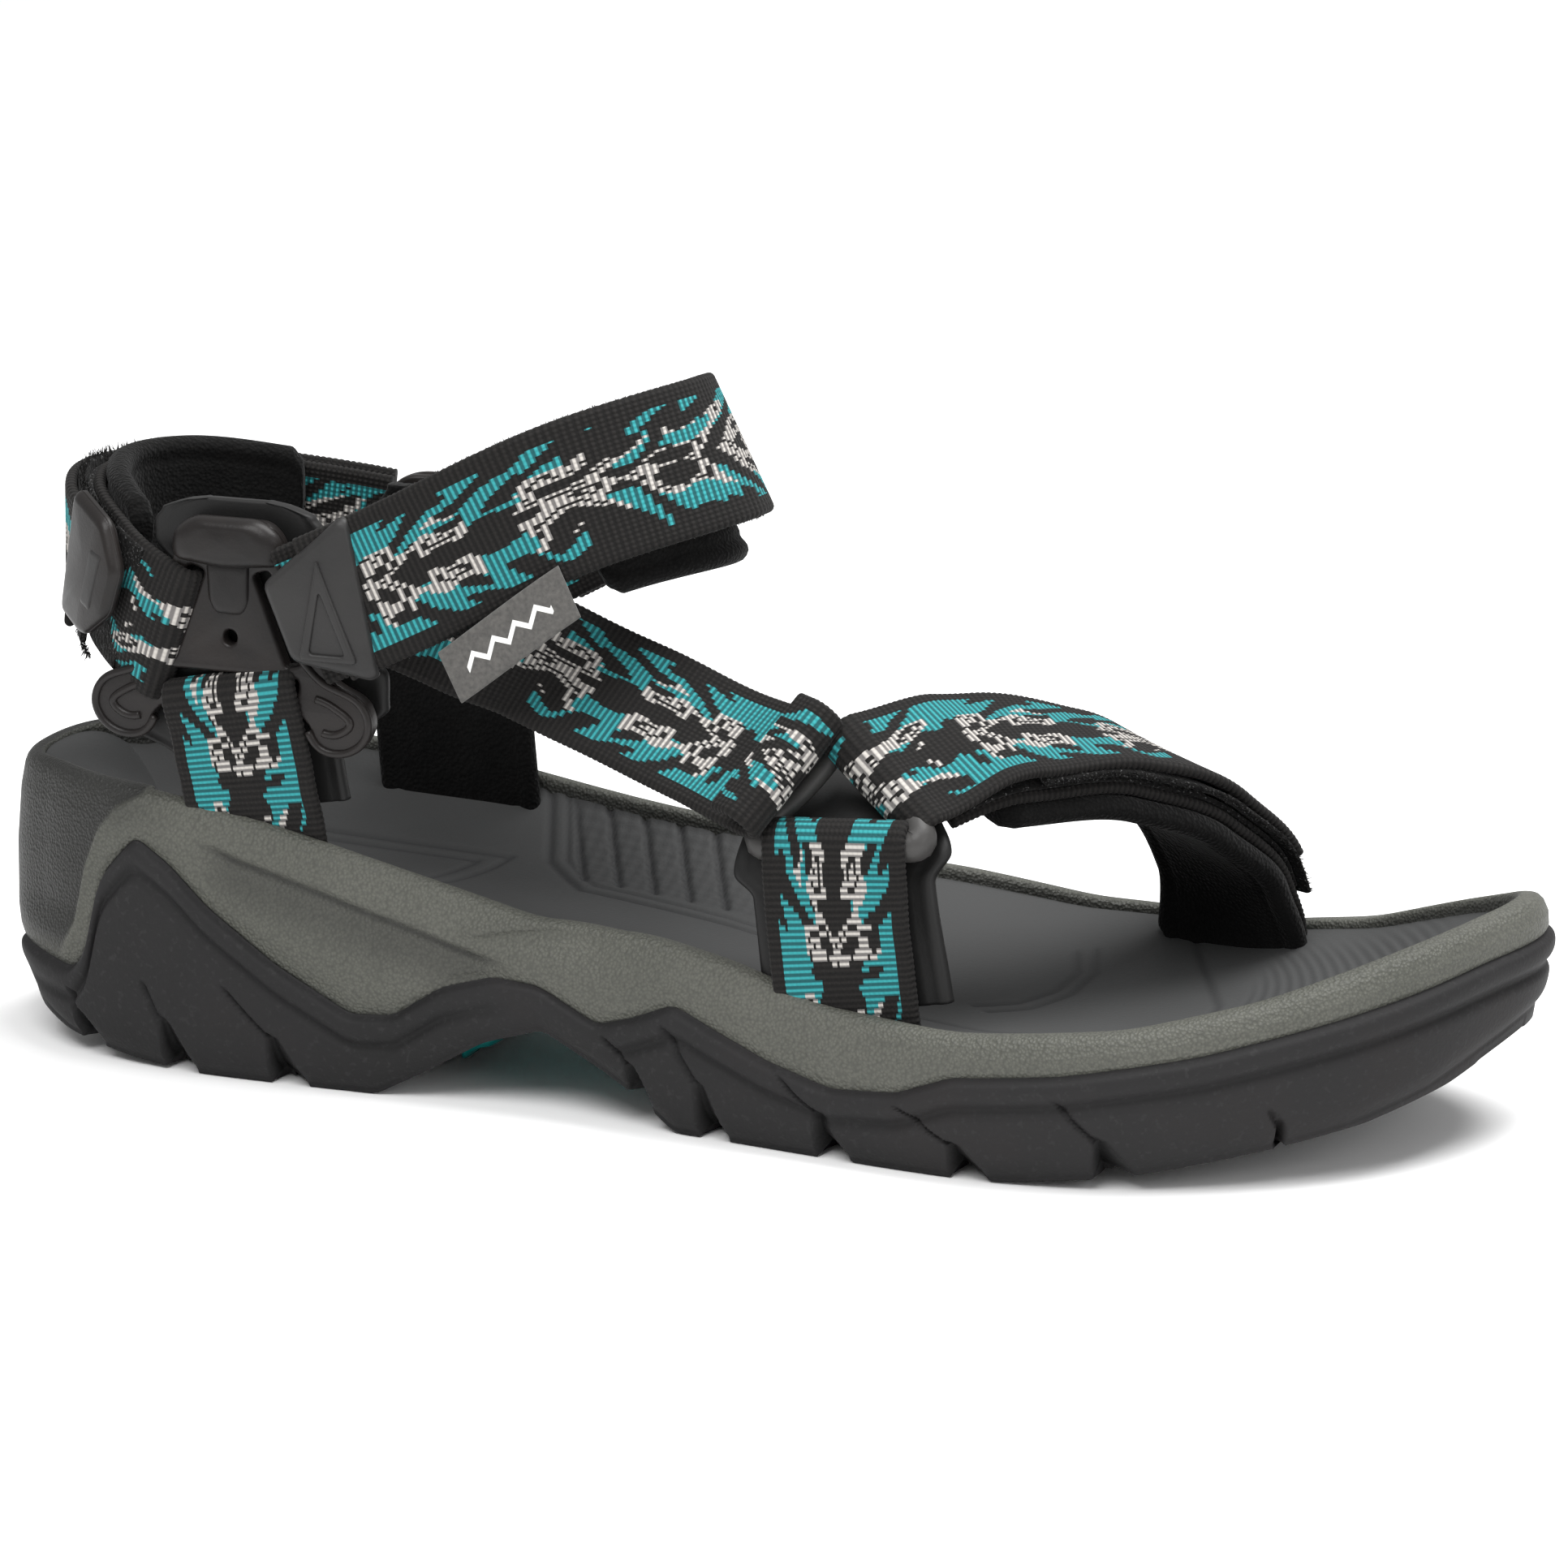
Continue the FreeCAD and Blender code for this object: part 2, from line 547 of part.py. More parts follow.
guide("heel_link_lateral", HOLE_OUTER, unit(V(1, -0.06, 0)))
guide("heel_link_medial", HOLE_INNER, unit(V(1, 0.06, 0)))

# Forefoot ring: three bars in the plane of its corners.
ring_x = unit(RING_FRONT - RING_REAR)
ring_n = unit(ring_x.cross(RING_TOP - RING_REAR))
ring_y = ring_n.cross(ring_x)
apex = RING_TOP - RING_REAR
span = (RING_FRONT - RING_REAR).Length
ax, ay = apex.dot(ring_x), apex.dot(ring_y)
ring_out = [(-3.2, -0.8), (-1.6, -3.0), (span + 1.6, -3.0), (span + 3.2, -0.8), (ax + 3.0, ay + 3.2),
            (ax - 3.0, ay + 3.2)]
ring_in = [(2.2, 0.2), (span - 2.2, 0.2), (ax, ay - 3.0)]
plate("toe_link", [ring_out, ring_in], [],
      FreeCAD.Placement(RING_REAR, FreeCAD.Rotation(ring_x, ring_y, ring_n, "XYZ")))

# -------------------------------------------------------------------- output
doc.recompute()
for obj in doc.Objects:
    if "Invalid" in obj.State or "Error" in obj.State:
        raise RuntimeError("%s is in state %s" % (obj.Label, obj.State))
for obj in PARTS:
    shape = obj.Shape
    if shape.isNull() or not shape.isValid() or shape.Volume < 1.0:
        raise RuntimeError("%s has no valid shape" % obj.Label)
for obj in PARTS:
    obj.Shape.exportStep(os.path.join("parts", obj.Label + ".step"))
    box = obj.Shape.BoundBox
    print("%-28s solids %d volume %9.1f  x %.1f..%.1f y %.1f..%.1f z %.1f..%.1f" % (
        obj.Label, len(obj.Shape.Solids), obj.Shape.Volume, box.XMin, box.XMax,
        box.YMin, box.YMax, box.ZMin, box.ZMax))
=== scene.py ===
import math

import bmesh
import bpy
import numpy as np
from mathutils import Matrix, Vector


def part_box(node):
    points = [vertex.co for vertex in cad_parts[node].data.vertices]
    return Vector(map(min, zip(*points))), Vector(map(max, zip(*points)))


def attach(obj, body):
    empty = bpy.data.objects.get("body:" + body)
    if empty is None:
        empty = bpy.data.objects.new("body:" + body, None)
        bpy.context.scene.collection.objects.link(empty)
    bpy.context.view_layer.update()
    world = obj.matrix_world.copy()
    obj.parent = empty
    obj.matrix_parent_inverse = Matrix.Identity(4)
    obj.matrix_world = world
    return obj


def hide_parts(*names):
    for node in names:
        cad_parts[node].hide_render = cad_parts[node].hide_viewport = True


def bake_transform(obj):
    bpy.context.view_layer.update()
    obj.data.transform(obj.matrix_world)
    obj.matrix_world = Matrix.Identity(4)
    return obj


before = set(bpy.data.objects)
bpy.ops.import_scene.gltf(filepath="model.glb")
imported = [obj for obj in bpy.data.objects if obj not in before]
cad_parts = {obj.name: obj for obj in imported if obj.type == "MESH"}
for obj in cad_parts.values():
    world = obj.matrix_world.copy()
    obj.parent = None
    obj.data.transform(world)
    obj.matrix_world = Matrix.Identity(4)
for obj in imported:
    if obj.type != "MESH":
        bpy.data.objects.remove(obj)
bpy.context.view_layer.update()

# Lengths in this script are millimetres in the part's own frame; MM turns them to metres.
# X runs from heel to toe, Y to the inner (medial) side, Z up.
MM = 0.001
SOLE_LENGTH = 276.0
SOLE_WIDTH = 98.5
TIP_X = SOLE_LENGTH / 2
WEB = 25.0       # width of the webbing
WEB_THICK = 2.0
BORDER = 2.6     # black edge of its woven pattern
RIB = 1.05       # spacing of its cross ribs
THREAD = 0.42    # width of one column of its weave


# ------------------------------------------------------------------ materials
class Shader:
    """A principled material with short ways to add nodes. A value handed to it is a
    number, a colour tuple or the output of another node."""

    def __init__(self, name, roughness, sheen=0.0, specular=0.5):
        self.material = bpy.data.materials.new(name)
        self.material.use_nodes = True
        self.tree = self.material.node_tree
        self.normal = None
        self.surface("Roughness", roughness)
        self.surface("Specular IOR Level", specular)
        if sheen:
            self.surface("Sheen Weight", sheen)
            self.surface("Sheen Roughness", 0.5)

    def put(self, socket, value):
        if isinstance(value, bpy.types.NodeSocket):
            self.tree.links.new(value, socket)
        elif isinstance(value, tuple):
            socket.default_value = (*value, 1)
        else:
            socket.default_value = value

    def surface(self, name, value):
        self.put(self.tree.nodes["Principled BSDF"].inputs[name], value)

    def color(self, value):
        self.surface("Base Color", value)

    def add(self, kind, **values):
        node = self.tree.nodes.new(kind)
        for key, value in values.items():
            if hasattr(node, key):
                setattr(node, key, value)
            else:
                self.put(node.inputs[key], value)
        return node

    def math(self, operation, *values):
        node = self.add("ShaderNodeMath", operation=operation)
        for socket, value in zip(node.inputs, values):
            self.put(socket, value)
        return node.outputs[0]

    def coords(self, kind="Object"):
        return self.add("ShaderNodeTexCoord").outputs[kind]

    def strip(self):
        """Millimetres along and across a strap, from "UVMap"."""
        split = self.add("ShaderNodeSeparateXYZ", Vector=self.coords("UV"))
        return [self.math("MULTIPLY", output, 100.0) for output in split.outputs[:2]]

    def noise(self, vector, scale, detail=3.0, rough=0.55):
        return self.add("ShaderNodeTexNoise", Vector=vector, Scale=scale, Detail=detail,
                        Roughness=rough).outputs["Fac"]

    def voronoi(self, vector, scale):
        return self.add("ShaderNodeTexVoronoi", Vector=vector, Scale=scale).outputs["Distance"]

    def ramp(self, factor, stops):
        node = self.add("ShaderNodeValToRGB")
        self.put(node.inputs[0], factor)
        elements = node.color_ramp.elements
        while len(elements) < len(stops):
            elements.new(0.5)
        for element, (place, color) in zip(elements, stops):
            element.position = place
            element.color = (*color, 1)
        return node.outputs[0]

    def step(self, value, low, high):
        return self.add("ShaderNodeMapRange", interpolation_type="SMOOTHSTEP", Value=value,
                        **{"From Min": low, "From Max": high}).outputs["Result"]

    def mix(self, factor, a, b, blend="MIX"):
        node = self.add("ShaderNodeMix", data_type="RGBA", blend_type=blend)
        for index, value in ((0, factor), (6, a), (7, b)):
            self.put(node.inputs[index], value)
        return node.outputs[2]

    def tinted(self, color, dark):
        """Sets the colour, mixed towards dark by the painted shade stored on the mesh."""
        tint = self.add("ShaderNodeAttribute", attribute_name="tint").outputs["Fac"]
        self.color(self.mix(tint, color, dark))

    def rough(self, factor, low, high):
        node = self.add("ShaderNodeMapRange", Value=factor, **{"To Min": low, "To Max": high})
        self.surface("Roughness", node.outputs["Result"])

    def bump(self, height, distance, strength):
        node = self.add("ShaderNodeBump", Height=height, Distance=distance, Strength=strength)
        if self.normal is not None:
            self.put(node.inputs["Normal"], self.normal)
        self.normal = node.outputs["Normal"]
        self.surface("Normal", self.normal)

    def grain(self, scale, distance, strength, detail=2):
        self.bump(self.noise(self.coords(), scale, detail), distance, strength)


def foam_material():
    # Olive grey foam with a pebbled skin.
    shader = Shader("foam_skin", 0.62, specular=0.3)
    place = shader.coords()
    pebbles = shader.voronoi(place, 1750)
    blotch = shader.noise(place, 34, 4)
    base = shader.ramp(blotch, [(0.3, (0.078, 0.080, 0.068)), (0.7, (0.100, 0.101, 0.087))])
    # Painted shade between the pebbles and a painted highlight on their tops.
    pebble_shade_and_highlight = shader.ramp(pebbles, [(0.0, (1.12, 1.12, 1.1)), (0.75, (0.72, 0.72, 0.72))])
    # Painted shade stored on the mesh darkens the foam towards near black.
    shader.tinted(shader.mix(1.0, base, pebble_shade_and_highlight, "MULTIPLY"), (0.014, 0.014, 0.0135))
    shader.rough(blotch, 0.46, 0.62)
    shader.bump(pebbles, 0.0003, 0.8)
    shader.grain(420, 0.0002, 0.4)
    return shader.material


def rubber_material():
    shader = Shader("tread_rubber", 0.66, specular=0.2)
    place = shader.coords()
    blotch = shader.noise(place, 26, 4)
    base = shader.ramp(blotch, [(0.32, (0.0125, 0.0123, 0.0125)), (0.55, (0.0155, 0.015, 0.0155)),
                                (0.75, (0.019, 0.017, 0.0172))])
    scuff = shader.step(shader.noise(place, 900, 2), 0.56, 0.72)
    # Scuffs are lighter patches; painted shade stored on the mesh darkens the rubber nearly to black.
    shader.tinted(shader.mix(scuff, base, (0.021, 0.0205, 0.021)), (0.003, 0.003, 0.003))
    shader.rough(blotch, 0.58, 0.74)
    shader.grain(1300, 0.00018, 0.5)
    return shader.material


def footbed_material():
    shader = Shader("footbed_skin", 0.7, specular=0.3)
    blotch = shader.noise(shader.coords(), 18)
    base = shader.ramp(blotch, [(0.3, (0.038, 0.0385, 0.0385)), (0.7, (0.047, 0.048, 0.048))])
    # Painted shade stored on the mesh darkens the footbed's pressed lines.
    shader.tinted(base, (0.014, 0.014, 0.015))
    shader.rough(blotch, 0.6, 0.75)
    shader.grain(1500, 0.00012, 0.5)
    return shader.material


def plastic_material(name, dark, light, roughness):
    shader = Shader(name, roughness, specular=0.24)
    place = shader.coords()
    shader.color(shader.ramp(shader.noise(place, 60, 4), [(0.35, dark), (0.7, light)]))
    shader.rough(shader.noise(place, 240), roughness - 0.07, roughness + 0.1)
    shader.grain(1800, 0.00006, 0.5)
    return shader.material


def lining_material(name, dark, light, scale, specks=0.0):
    # Knit or brushed fabric: fine loops in relief and a soft sheen; specks is the grey of
    # the loops that catch the light.
    shader = Shader(name, 0.9, sheen=0.06, specular=0.12)
    place = shader.coords()
    loops = shader.voronoi(place, scale)
    color = shader.mix(0.5, shader.ramp(loops, [(0.1, light), (0.8, dark)]),
                       shader.ramp(shader.noise(place, 160, 4), [(0.3, dark), (0.75, light)]))
    if specks:
        glint = shader.step(shader.noise(place, 2100, 2), 0.62, 0.68)
        color = shader.mix(glint, color, (specks, specks, specks))
    shader.color(color)
    shader.bump(loops, 0.0003, 0.8)
    shader.grain(scale * 0.5, 0.0003, 0.5, detail=3)
    return shader.material


TEAL = (0.026, 0.262, 0.288)
PALE = (0.43, 0.43, 0.415)
INK = (0.0075, 0.0070, 0.0068)


def webbing_material():
    # Jacquard webbing: teal flames with pale veins on black, about the same on both sides of
    # the middle, in steps of one rib along and one thread across.
    shader = Shader("webbing_weave", 0.8, sheen=0.03, specular=0.2)
    calc = shader.math
    along, across = shader.strip()
    run = calc("SNAP", along, RIB)
    stepped = calc("SNAP", across, THREAD)

    def field(slant, x_scale, y_scale, shift, side):
        # Smooth noise drawn out along strokes that lean away from the middle.
        lean = calc("ADD", run, calc("MULTIPLY", side, slant))
        spread = calc("SUBTRACT", side, calc("MULTIPLY", run, slant))
        place = shader.add("ShaderNodeCombineXYZ", X=calc("MULTIPLY", lean, x_scale),
                           Y=calc("MULTIPLY", spread, y_scale), Z=shift)
        return shader.noise(place.outputs[0], 1.0, 0.0, 0.5)

    def vein(value, middle, reach, limit):
        # A line where value is near middle, no further out than limit.
        away = calc("ABSOLUTE", calc("SUBTRACT", value, middle))
        return calc("MULTIPLY", calc("LESS_THAN", away, reach), calc("LESS_THAN", zone, limit))

    mirror = calc("ABSOLUTE", stepped)
    drift = calc("SUBTRACT", field(0.0, 0.11, 0.05, 3.3, stepped), 0.5)
    zone = calc("ADD", mirror, calc("MULTIPLY", drift, 6.5))
    bent = calc("ADD", mirror, calc("MULTIPLY", drift, 5.2))
    askew = calc("ADD", bent, calc("MULTIPLY", stepped, 0.22))
    flames = field(0.38, 0.095, 0.29, 1.7, askew)
    slashes = field(0.70, 0.075, 0.26, 7.9, askew)
    outer = calc("MULTIPLY", calc("GREATER_THAN", zone, 3.3), calc("LESS_THAN", flames, 0.545))
    outer = calc("MULTIPLY", outer, calc("LESS_THAN", slashes, 0.61))
    veins = calc("MAXIMUM", vein(flames, 0.545, 0.045, 6.6), vein(flames, 0.655, 0.030, 5.0))
    border = calc("GREATER_THAN", calc("ABSOLUTE", across), WEB / 2 - BORDER)
    pattern = shader.mix(outer, INK, TEAL)
    pattern = shader.mix(veins, pattern, PALE)
    pattern = shader.mix(border, pattern, INK)
    # Painted shade darkens the gaps between the ribs, and a painted highlight, a little brown, lightens
    # their crests and shows on the black ones.
    phase = calc("FRACT", calc("DIVIDE", along, RIB))
    crest = calc("SINE", calc("MULTIPLY", phase, math.pi))
    rib_shade_and_highlight = shader.mix(shader.step(crest, 0.55, 1.0), (0.35, 0.33, 0.33), (1.20, 1.14, 1.10))
    fuzz = shader.noise(shader.coords(), 1500)
    shader.color(shader.mix(calc("MULTIPLY", fuzz, 0.10), shader.mix(1.0, pattern, rib_shade_and_highlight, "MULTIPLY"),
                            (0.06, 0.056, 0.052)))
    threads = calc("SINE", calc("MULTIPLY", across, math.pi / THREAD))
    shader.bump(calc("MULTIPLY", threads, crest), 0.00012, 0.6)
    shader.bump(fuzz, 0.0002, 0.5)
    return shader.material


def label_material():
    # Grey woven label with a plain pale zigzag.
    shader = Shader("label_weave", 0.85, sheen=0.2, specular=0.2)
    calc = shader.math
    along, across = shader.strip()
    zigzag = calc("SUBTRACT", calc("PINGPONG", calc("ADD", along, 1.0), 2.1), 1.05)
    offset = calc("ABSOLUTE", calc("SUBTRACT", across, zigzag))
    stroke = calc("SUBTRACT", 1.0, shader.step(offset, 0.5, 0.62))
    from_middle = calc("ABSOLUTE", calc("SUBTRACT", along, 11.9))
    mark = calc("MULTIPLY", stroke, calc("SUBTRACT", 1.0, shader.step(from_middle, 8.4, 8.5)))
    weave = shader.noise(shader.coords(), 1300, 2)
    ground = shader.ramp(weave, [(0.3, (0.065, 0.063, 0.060)), (0.7, (0.10, 0.096, 0.090))])
    shader.color(shader.mix(mark, ground, (0.82, 0.82, 0.80)))
    shader.bump(weave, 0.0002, 0.6)
    return shader.material


MATERIALS = {
    "foam": foam_material(),
    "rubber": rubber_material(),
    "footbed": footbed_material(),
    "webbing": webbing_material(),
    "guide": plastic_material("guide_plastic", (0.0085, 0.0078, 0.0078), (0.0165, 0.0135, 0.0125), 0.36),
    "backing": plastic_material("backing_rubber", (0.009, 0.009, 0.009), (0.0135, 0.0132, 0.013), 0.48),
    "tip": plastic_material("tip_plastic", (0.021, 0.0205, 0.0205), (0.028, 0.027, 0.0265), 0.42),
    "ring": plastic_material("ring_plastic", (0.040, 0.039, 0.038), (0.058, 0.056, 0.054), 0.40),
    "teal": plastic_material("shank_teal", (0.0, 0.12, 0.115), (0.0, 0.16, 0.15), 0.4),
    "lining": lining_material("neoprene", (0.0012, 0.0012, 0.0012), (0.006, 0.0058, 0.0056), 1500),
    "tape": lining_material("closure_fuzz", (0.001, 0.001, 0.001), (0.009, 0.0085, 0.008), 1100, 0.09),
    "label": label_material(),
}


# ------------------------------------------------------------------ mesh helpers
def place_object(name, mesh):
    obj = bpy.data.objects.new(name, mesh)
    bpy.context.scene.collection.objects.link(obj)
    return obj


def make_object(name, vertices, faces, material, uvs=None, tint=None, smooth=True):
    """A mesh object from millimetre vertices; uvs and the painted shade are per vertex."""
    mesh = bpy.data.meshes.new(name)
    mesh.from_pydata((np.asarray(vertices, float) * MM).tolist(), [], faces)
    mesh.materials.append(MATERIALS[material])
    mesh.polygons.foreach_set("use_smooth", np.full(len(mesh.polygons), smooth))
    if uvs is not None:
        corners = np.empty(len(mesh.loops), int)
        mesh.loops.foreach_get("vertex_index", corners)
        layer = mesh.uv_layers.new(name="UVMap")
        layer.data.foreach_set("uv", np.asarray(uvs, np.float32)[corners].ravel())
    # Painted shade per vertex, which the materials read to darken creases and recesses.
    if tint is not None:
        data = mesh.attributes.new("tint", "FLOAT", "POINT")
        data.data.foreach_set("value", np.clip(tint, 0, 1).astype(np.float32))
    mesh.update()
    return place_object(name, mesh)


def weld(obj, distance=1e-7):
    work = bmesh.new()
    work.from_mesh(obj.data)
    bmesh.ops.remove_doubles(work, verts=work.verts, dist=distance)
    bmesh.ops.dissolve_degenerate(work, edges=work.edges, dist=1e-7)
    bmesh.ops.recalc_face_normals(work, faces=work.faces)
    work.to_mesh(obj.data)
    work.free()
    return obj


def lofted(name, rows, material, ends="capped", distance=1e-7, **layers):
    """A skin over closed loops of points; ends are "capped", "open" or "joined"."""
    rows = np.asarray(rows)
    count, columns = rows.shape[:2]
    faces = []
    for r in range(count if ends == "joined" else count - 1):
        a, b = r * columns, (r + 1) % count * columns
        for c in range(columns):
            d = (c + 1) % columns
            faces.append((a + c, a + d, b + d, b + c))
    if ends == "capped":
        faces.append(tuple(reversed(range(columns))))
        faces.append(tuple(range((count - 1) * columns, count * columns)))
    return weld(make_object(name, rows.reshape(-1, 3), faces, material, **layers), distance)


def settle(obj, body, slot, *nodes):
    if body:
        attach(obj, body)
    if nodes:
        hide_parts(*nodes)
    return obj


def smoothstep(value, low, high):
    share = np.clip((value - low) / (high - low), 0, 1)
    return share * share * (3 - 2 * share)


def unit(v):
    v = np.asarray(v, float)
    return v / np.linalg.norm(v, axis=-1, keepdims=True)


class Spline:
    """Smooth cubic curve through points, by chord length from 0 to 1."""

    def __init__(self, points, closed=False):
        p = np.array(points, float)
        if closed:
            p = np.vstack([p, p[:1]])
        spans = np.linalg.norm(np.diff(p, axis=0), axis=1)
        t = np.concatenate([[0], np.cumsum(spans)])
        self.length = t[-1]
        t = t / self.length
        h = np.diff(t)
        s = np.diff(p, axis=0) / h[:, None]
        n = len(p)
        matrix = np.zeros((n, n))
        right = np.zeros_like(p)
        for i in range(1, n - 1):
            matrix[i, i - 1:i + 2] = h[i], 2 * (h[i - 1] + h[i]), h[i - 1]
            right[i] = 3 * (h[i] * s[i - 1] + h[i - 1] * s[i])
        if closed:
            matrix[0, 0] = 2 * (h[-1] + h[0])
            matrix[0, 1] = h[-1]
            matrix[0, -2] = h[0]
            right[0] = 3 * (h[0] * s[-1] + h[-1] * s[0])
            matrix[-1, -1] = 1
            matrix[-1, 0] = -1
        else:
            matrix[0, 0] = 1
            right[0] = s[0] + (s[0] - s[1]) * h[0] / (h[0] + h[1])
            matrix[-1, -1] = 1
            right[-1] = s[-1] + (s[-1] - s[-2]) * h[-1] / (h[-1] + h[-2])
        self.t, self.p, self.h = t, p, h
        self.m = np.linalg.solve(matrix, right)

    def at(self, share):
        share = np.atleast_1d(share)
        i = np.clip(np.searchsorted(self.t, share, side="right") - 1, 0, len(self.h) - 1)
        h = self.h[i][:, None]
        u = ((share - self.t[i]) / self.h[i])[:, None]
        point = ((2 * u**3 - 3 * u**2 + 1) * self.p[i] + (u**3 - 2 * u**2 + u) * h * self.m[i]
                 + (3 * u**2 - 2 * u**3) * self.p[i + 1] + (u**3 - u**2) * h * self.m[i + 1])
        slope = ((6 * u**2 - 6 * u) * (self.p[i] - self.p[i + 1]) / h
                 + (3 * u**2 - 4 * u + 1) * self.m[i] + (3 * u**2 - 2 * u) * self.m[i + 1])
        return point, slope


def profile(points, blur=3.0):
    """Height as a function of x through points, with its corners rounded over blur."""
    points = np.array(points, float)
    xs = np.arange(-150, 150.01, 0.5)
    zs = np.interp(xs, points[:, 0], points[:, 1])
    reach = np.arange(-int(blur * 4), int(blur * 4) + 1) * 0.5
    weights = np.exp(-(reach / blur) ** 2 * 2)
    padded = np.pad(zs, len(reach) // 2, mode="reflect", reflect_type="odd")
    zs = np.convolve(padded, weights / weights.sum(), mode="valid")
    return lambda x: np.interp(x, xs, zs)


def near_line(x, y, points):
    """Distance of each (x, y) from an open polyline."""
    best = np.full(np.shape(x), 1e9)
    for (x0, y0), (x1, y1) in zip(points, points[1:]):
        dx, dy = x1 - x0, y1 - y0
        t = np.clip(((x - x0) * dx + (y - y0) * dy) / (dx * dx + dy * dy), 0, 1)
        best = np.minimum(best, np.hypot(x - x0 - t * dx, y - y0 - t * dy))
    return best


# ------------------------------------------------------------------ sole shape
OUTLINE = [
    (0.000, 0.028), (0.012, -0.124), (0.060, -0.256), (0.140, -0.327), (0.280, -0.353),
    (0.420, -0.378), (0.540, -0.429), (0.640, -0.480), (0.720, -0.500), (0.800, -0.470),
    (0.880, -0.373), (0.945, -0.226), (0.985, -0.033), (1.000, 0.099), (0.990, 0.221),
    (0.950, 0.322), (0.880, 0.419), (0.800, 0.480), (0.730, 0.493), (0.660, 0.460),
    (0.600, 0.414), (0.500, 0.353), (0.400, 0.333), (0.280, 0.348), (0.150, 0.353),
    (0.060, 0.287), (0.012, 0.170),
]
END = TIP_X + 8
under = profile([(-END, 27), (-TIP_X, 24), (-133, 12), (-127, 6), (-120, 3.5), (-107, 1.5),
                 (-94, 0.2), (-58, 0.2), (-49, 5), (-38, 11.5), (-27, 15), (-16, 9.5), (-9, 5.5),
                 (-2, 0.2), (55, 0.2), (79, 2.5), (91, 4.8), (102, 7), (115, 10), (126, 14),
                 (TIP_X, 21.5), (END, 24)], 1.6)
wave = profile([(-END, 19.5), (-130, 17.5), (-117.5, 15.8), (-113.2, 21), (-110.5, 34), (-103, 42),
                (-96, 37.5), (-89, 31), (-76, 22), (-62, 14.5), (-54, 15), (-45, 21), (-35, 24),
                (-27, 23.5), (-16, 18), (-9, 20), (-1.5, 23.3), (6, 20), (16, 16), (28, 13), (40, 14),
                (-16, 18), (-9, 20), (-1.5, 23.3), (6, 20), (16, 16), (28, 13), (40, 14),
                (50, 18), (69, 20), (92, 24), (113, 29), (132, 34), (END, 36)], 2.2)
rim_outer = profile([(-END, 49), (-129, 51), (-101, 50), (-82, 47), (-55, 40), (-30, 34),
                     (-6, 33.5), (9, 31), (26, 26), (49, 24.5), (80, 27), (102, 32), (122, 39),
                     (END, 46)], 6)
rim_inner = profile([(-END, 49), (-129, 50), (-101, 48), (-82, 47), (-55, 45), (-30, 41),
                     (-6, 37), (9, 33.5), (26, 31), (49, 25.5), (80, 23.5), (102, 27), (122, 34),
                     (END, 42)], 6)
bed_middle = profile([(-END, 47), (-129, 41), (-101, 34.5), (-82, 33), (-55, 31.5), (-30, 29.5),
                      (-6, 26.5), (9, 23.5), (26, 21), (49, 18.5), (80, 18.5), (102, 22),
                      (122, 30), (END, 39)], 8)


def rim(x, y):
    outer = rim_outer(x)
    return outer + (rim_inner(x) - outer) * (y / 44 + 1) / 2


STATIONS = 760
SPINE_INSET = 32.0


def sole_columns():
    """Outline points, inward normals and the centre-line point that each one faces."""
    points = [((u - 0.5) * SOLE_LENGTH, v * SOLE_WIDTH) for u, v in OUTLINE]
    dense, slope = Spline(points, closed=True).at(np.linspace(0, 1, 6001)[:-1])
    table = np.column_stack([dense, unit(slope)[:, ::-1] * (-1, 1)])
    table = np.roll(table, -np.argmin(dense[:, 0]), axis=0)
    toe = np.argmax(table[:, 0])
    low, high = table[0, 0], table[toe, 0]
    xs = (low + high) / 2 - (high - low) / 2 * np.cos(np.linspace(0, math.pi, STATIONS))

    def side(part):
        return np.column_stack([np.interp(xs, part[:, 0], column) for column in part.T])

    outer = side(table[:toe + 1])
    inner = side(np.vstack([table[toe:], table[:1]])[::-1])
    spine_x = np.clip(xs, low + SPINE_INSET, high - SPINE_INSET)
    spine_y = np.interp(spine_x, xs, (outer[:, 1] + inner[:, 1]) / 2)
    middle = np.column_stack([spine_x, spine_y])
    loop = np.vstack([outer, inner[-2:0:-1]])
    return loop[:, :2], unit(loop[:, 2:]), np.vstack([middle, middle[-2:0:-1]])


base, inward, spine = sole_columns()
base_x, base_y = base.T
COLUMNS = len(base)


def inset(distance):
    """Plan points the given distance inside the outline, one number or one per column."""
    return base + inward * np.reshape(np.broadcast_to(distance, (COLUMNS,)), (-1, 1))


# Lug grooves on the side wall: x and z of the top of the slit, x and width at the foot.
GROOVES = [(-118.6, 13.0, -117.4, 5.3), (-102.5, 17.0, -98.4, 6.0), (-87.0, 18.0, -77.4, 6.6),
           (-15.5, 17.0, -10.5, 4.0), (-4.0, 20.6, 3.0, 5.0), (15.0, 17.2, 25.0, 5.8),
           (39.0, 12.8, 49.7, 6.6), (67.0, 16.6, 74.9, 7.0), (101.5, 15.4, 103.6, 1.6)]


def groove_depth(x, z):
    """How far the side wall is cut back by the slits and notches."""
    depth = np.zeros(np.shape(x))
    for top_x, top_z, foot_x, wide in GROOVES:
        foot_z = float(under(foot_x))
        elbow = foot_z + 0.48 * (top_z - foot_z)
        rise = np.clip((z - elbow) / (top_z - elbow), 0, 1)
        left = foot_x + (top_x - foot_x) * rise ** 0.9
        open_share = np.clip((elbow + 1.0 - z) / (elbow + 1.0 - foot_z), 0, 1)
        width = 1.1 + (wide - 1.1) * open_share ** 0.85
        width = width * smoothstep(top_z + 0.4 - z, 0, 1.6) + 0.01
        deep = (1.5 + 3.0 * open_share) * smoothstep(top_z + 0.2 - z, 0, 2.5)
        share = (x - left) / width
        inside = smoothstep(share * width, -0.15, 0.35) * np.clip(1.04 - share, 0, 1) ** 0.75
        depth = np.maximum(depth, deep * inside)
    return depth


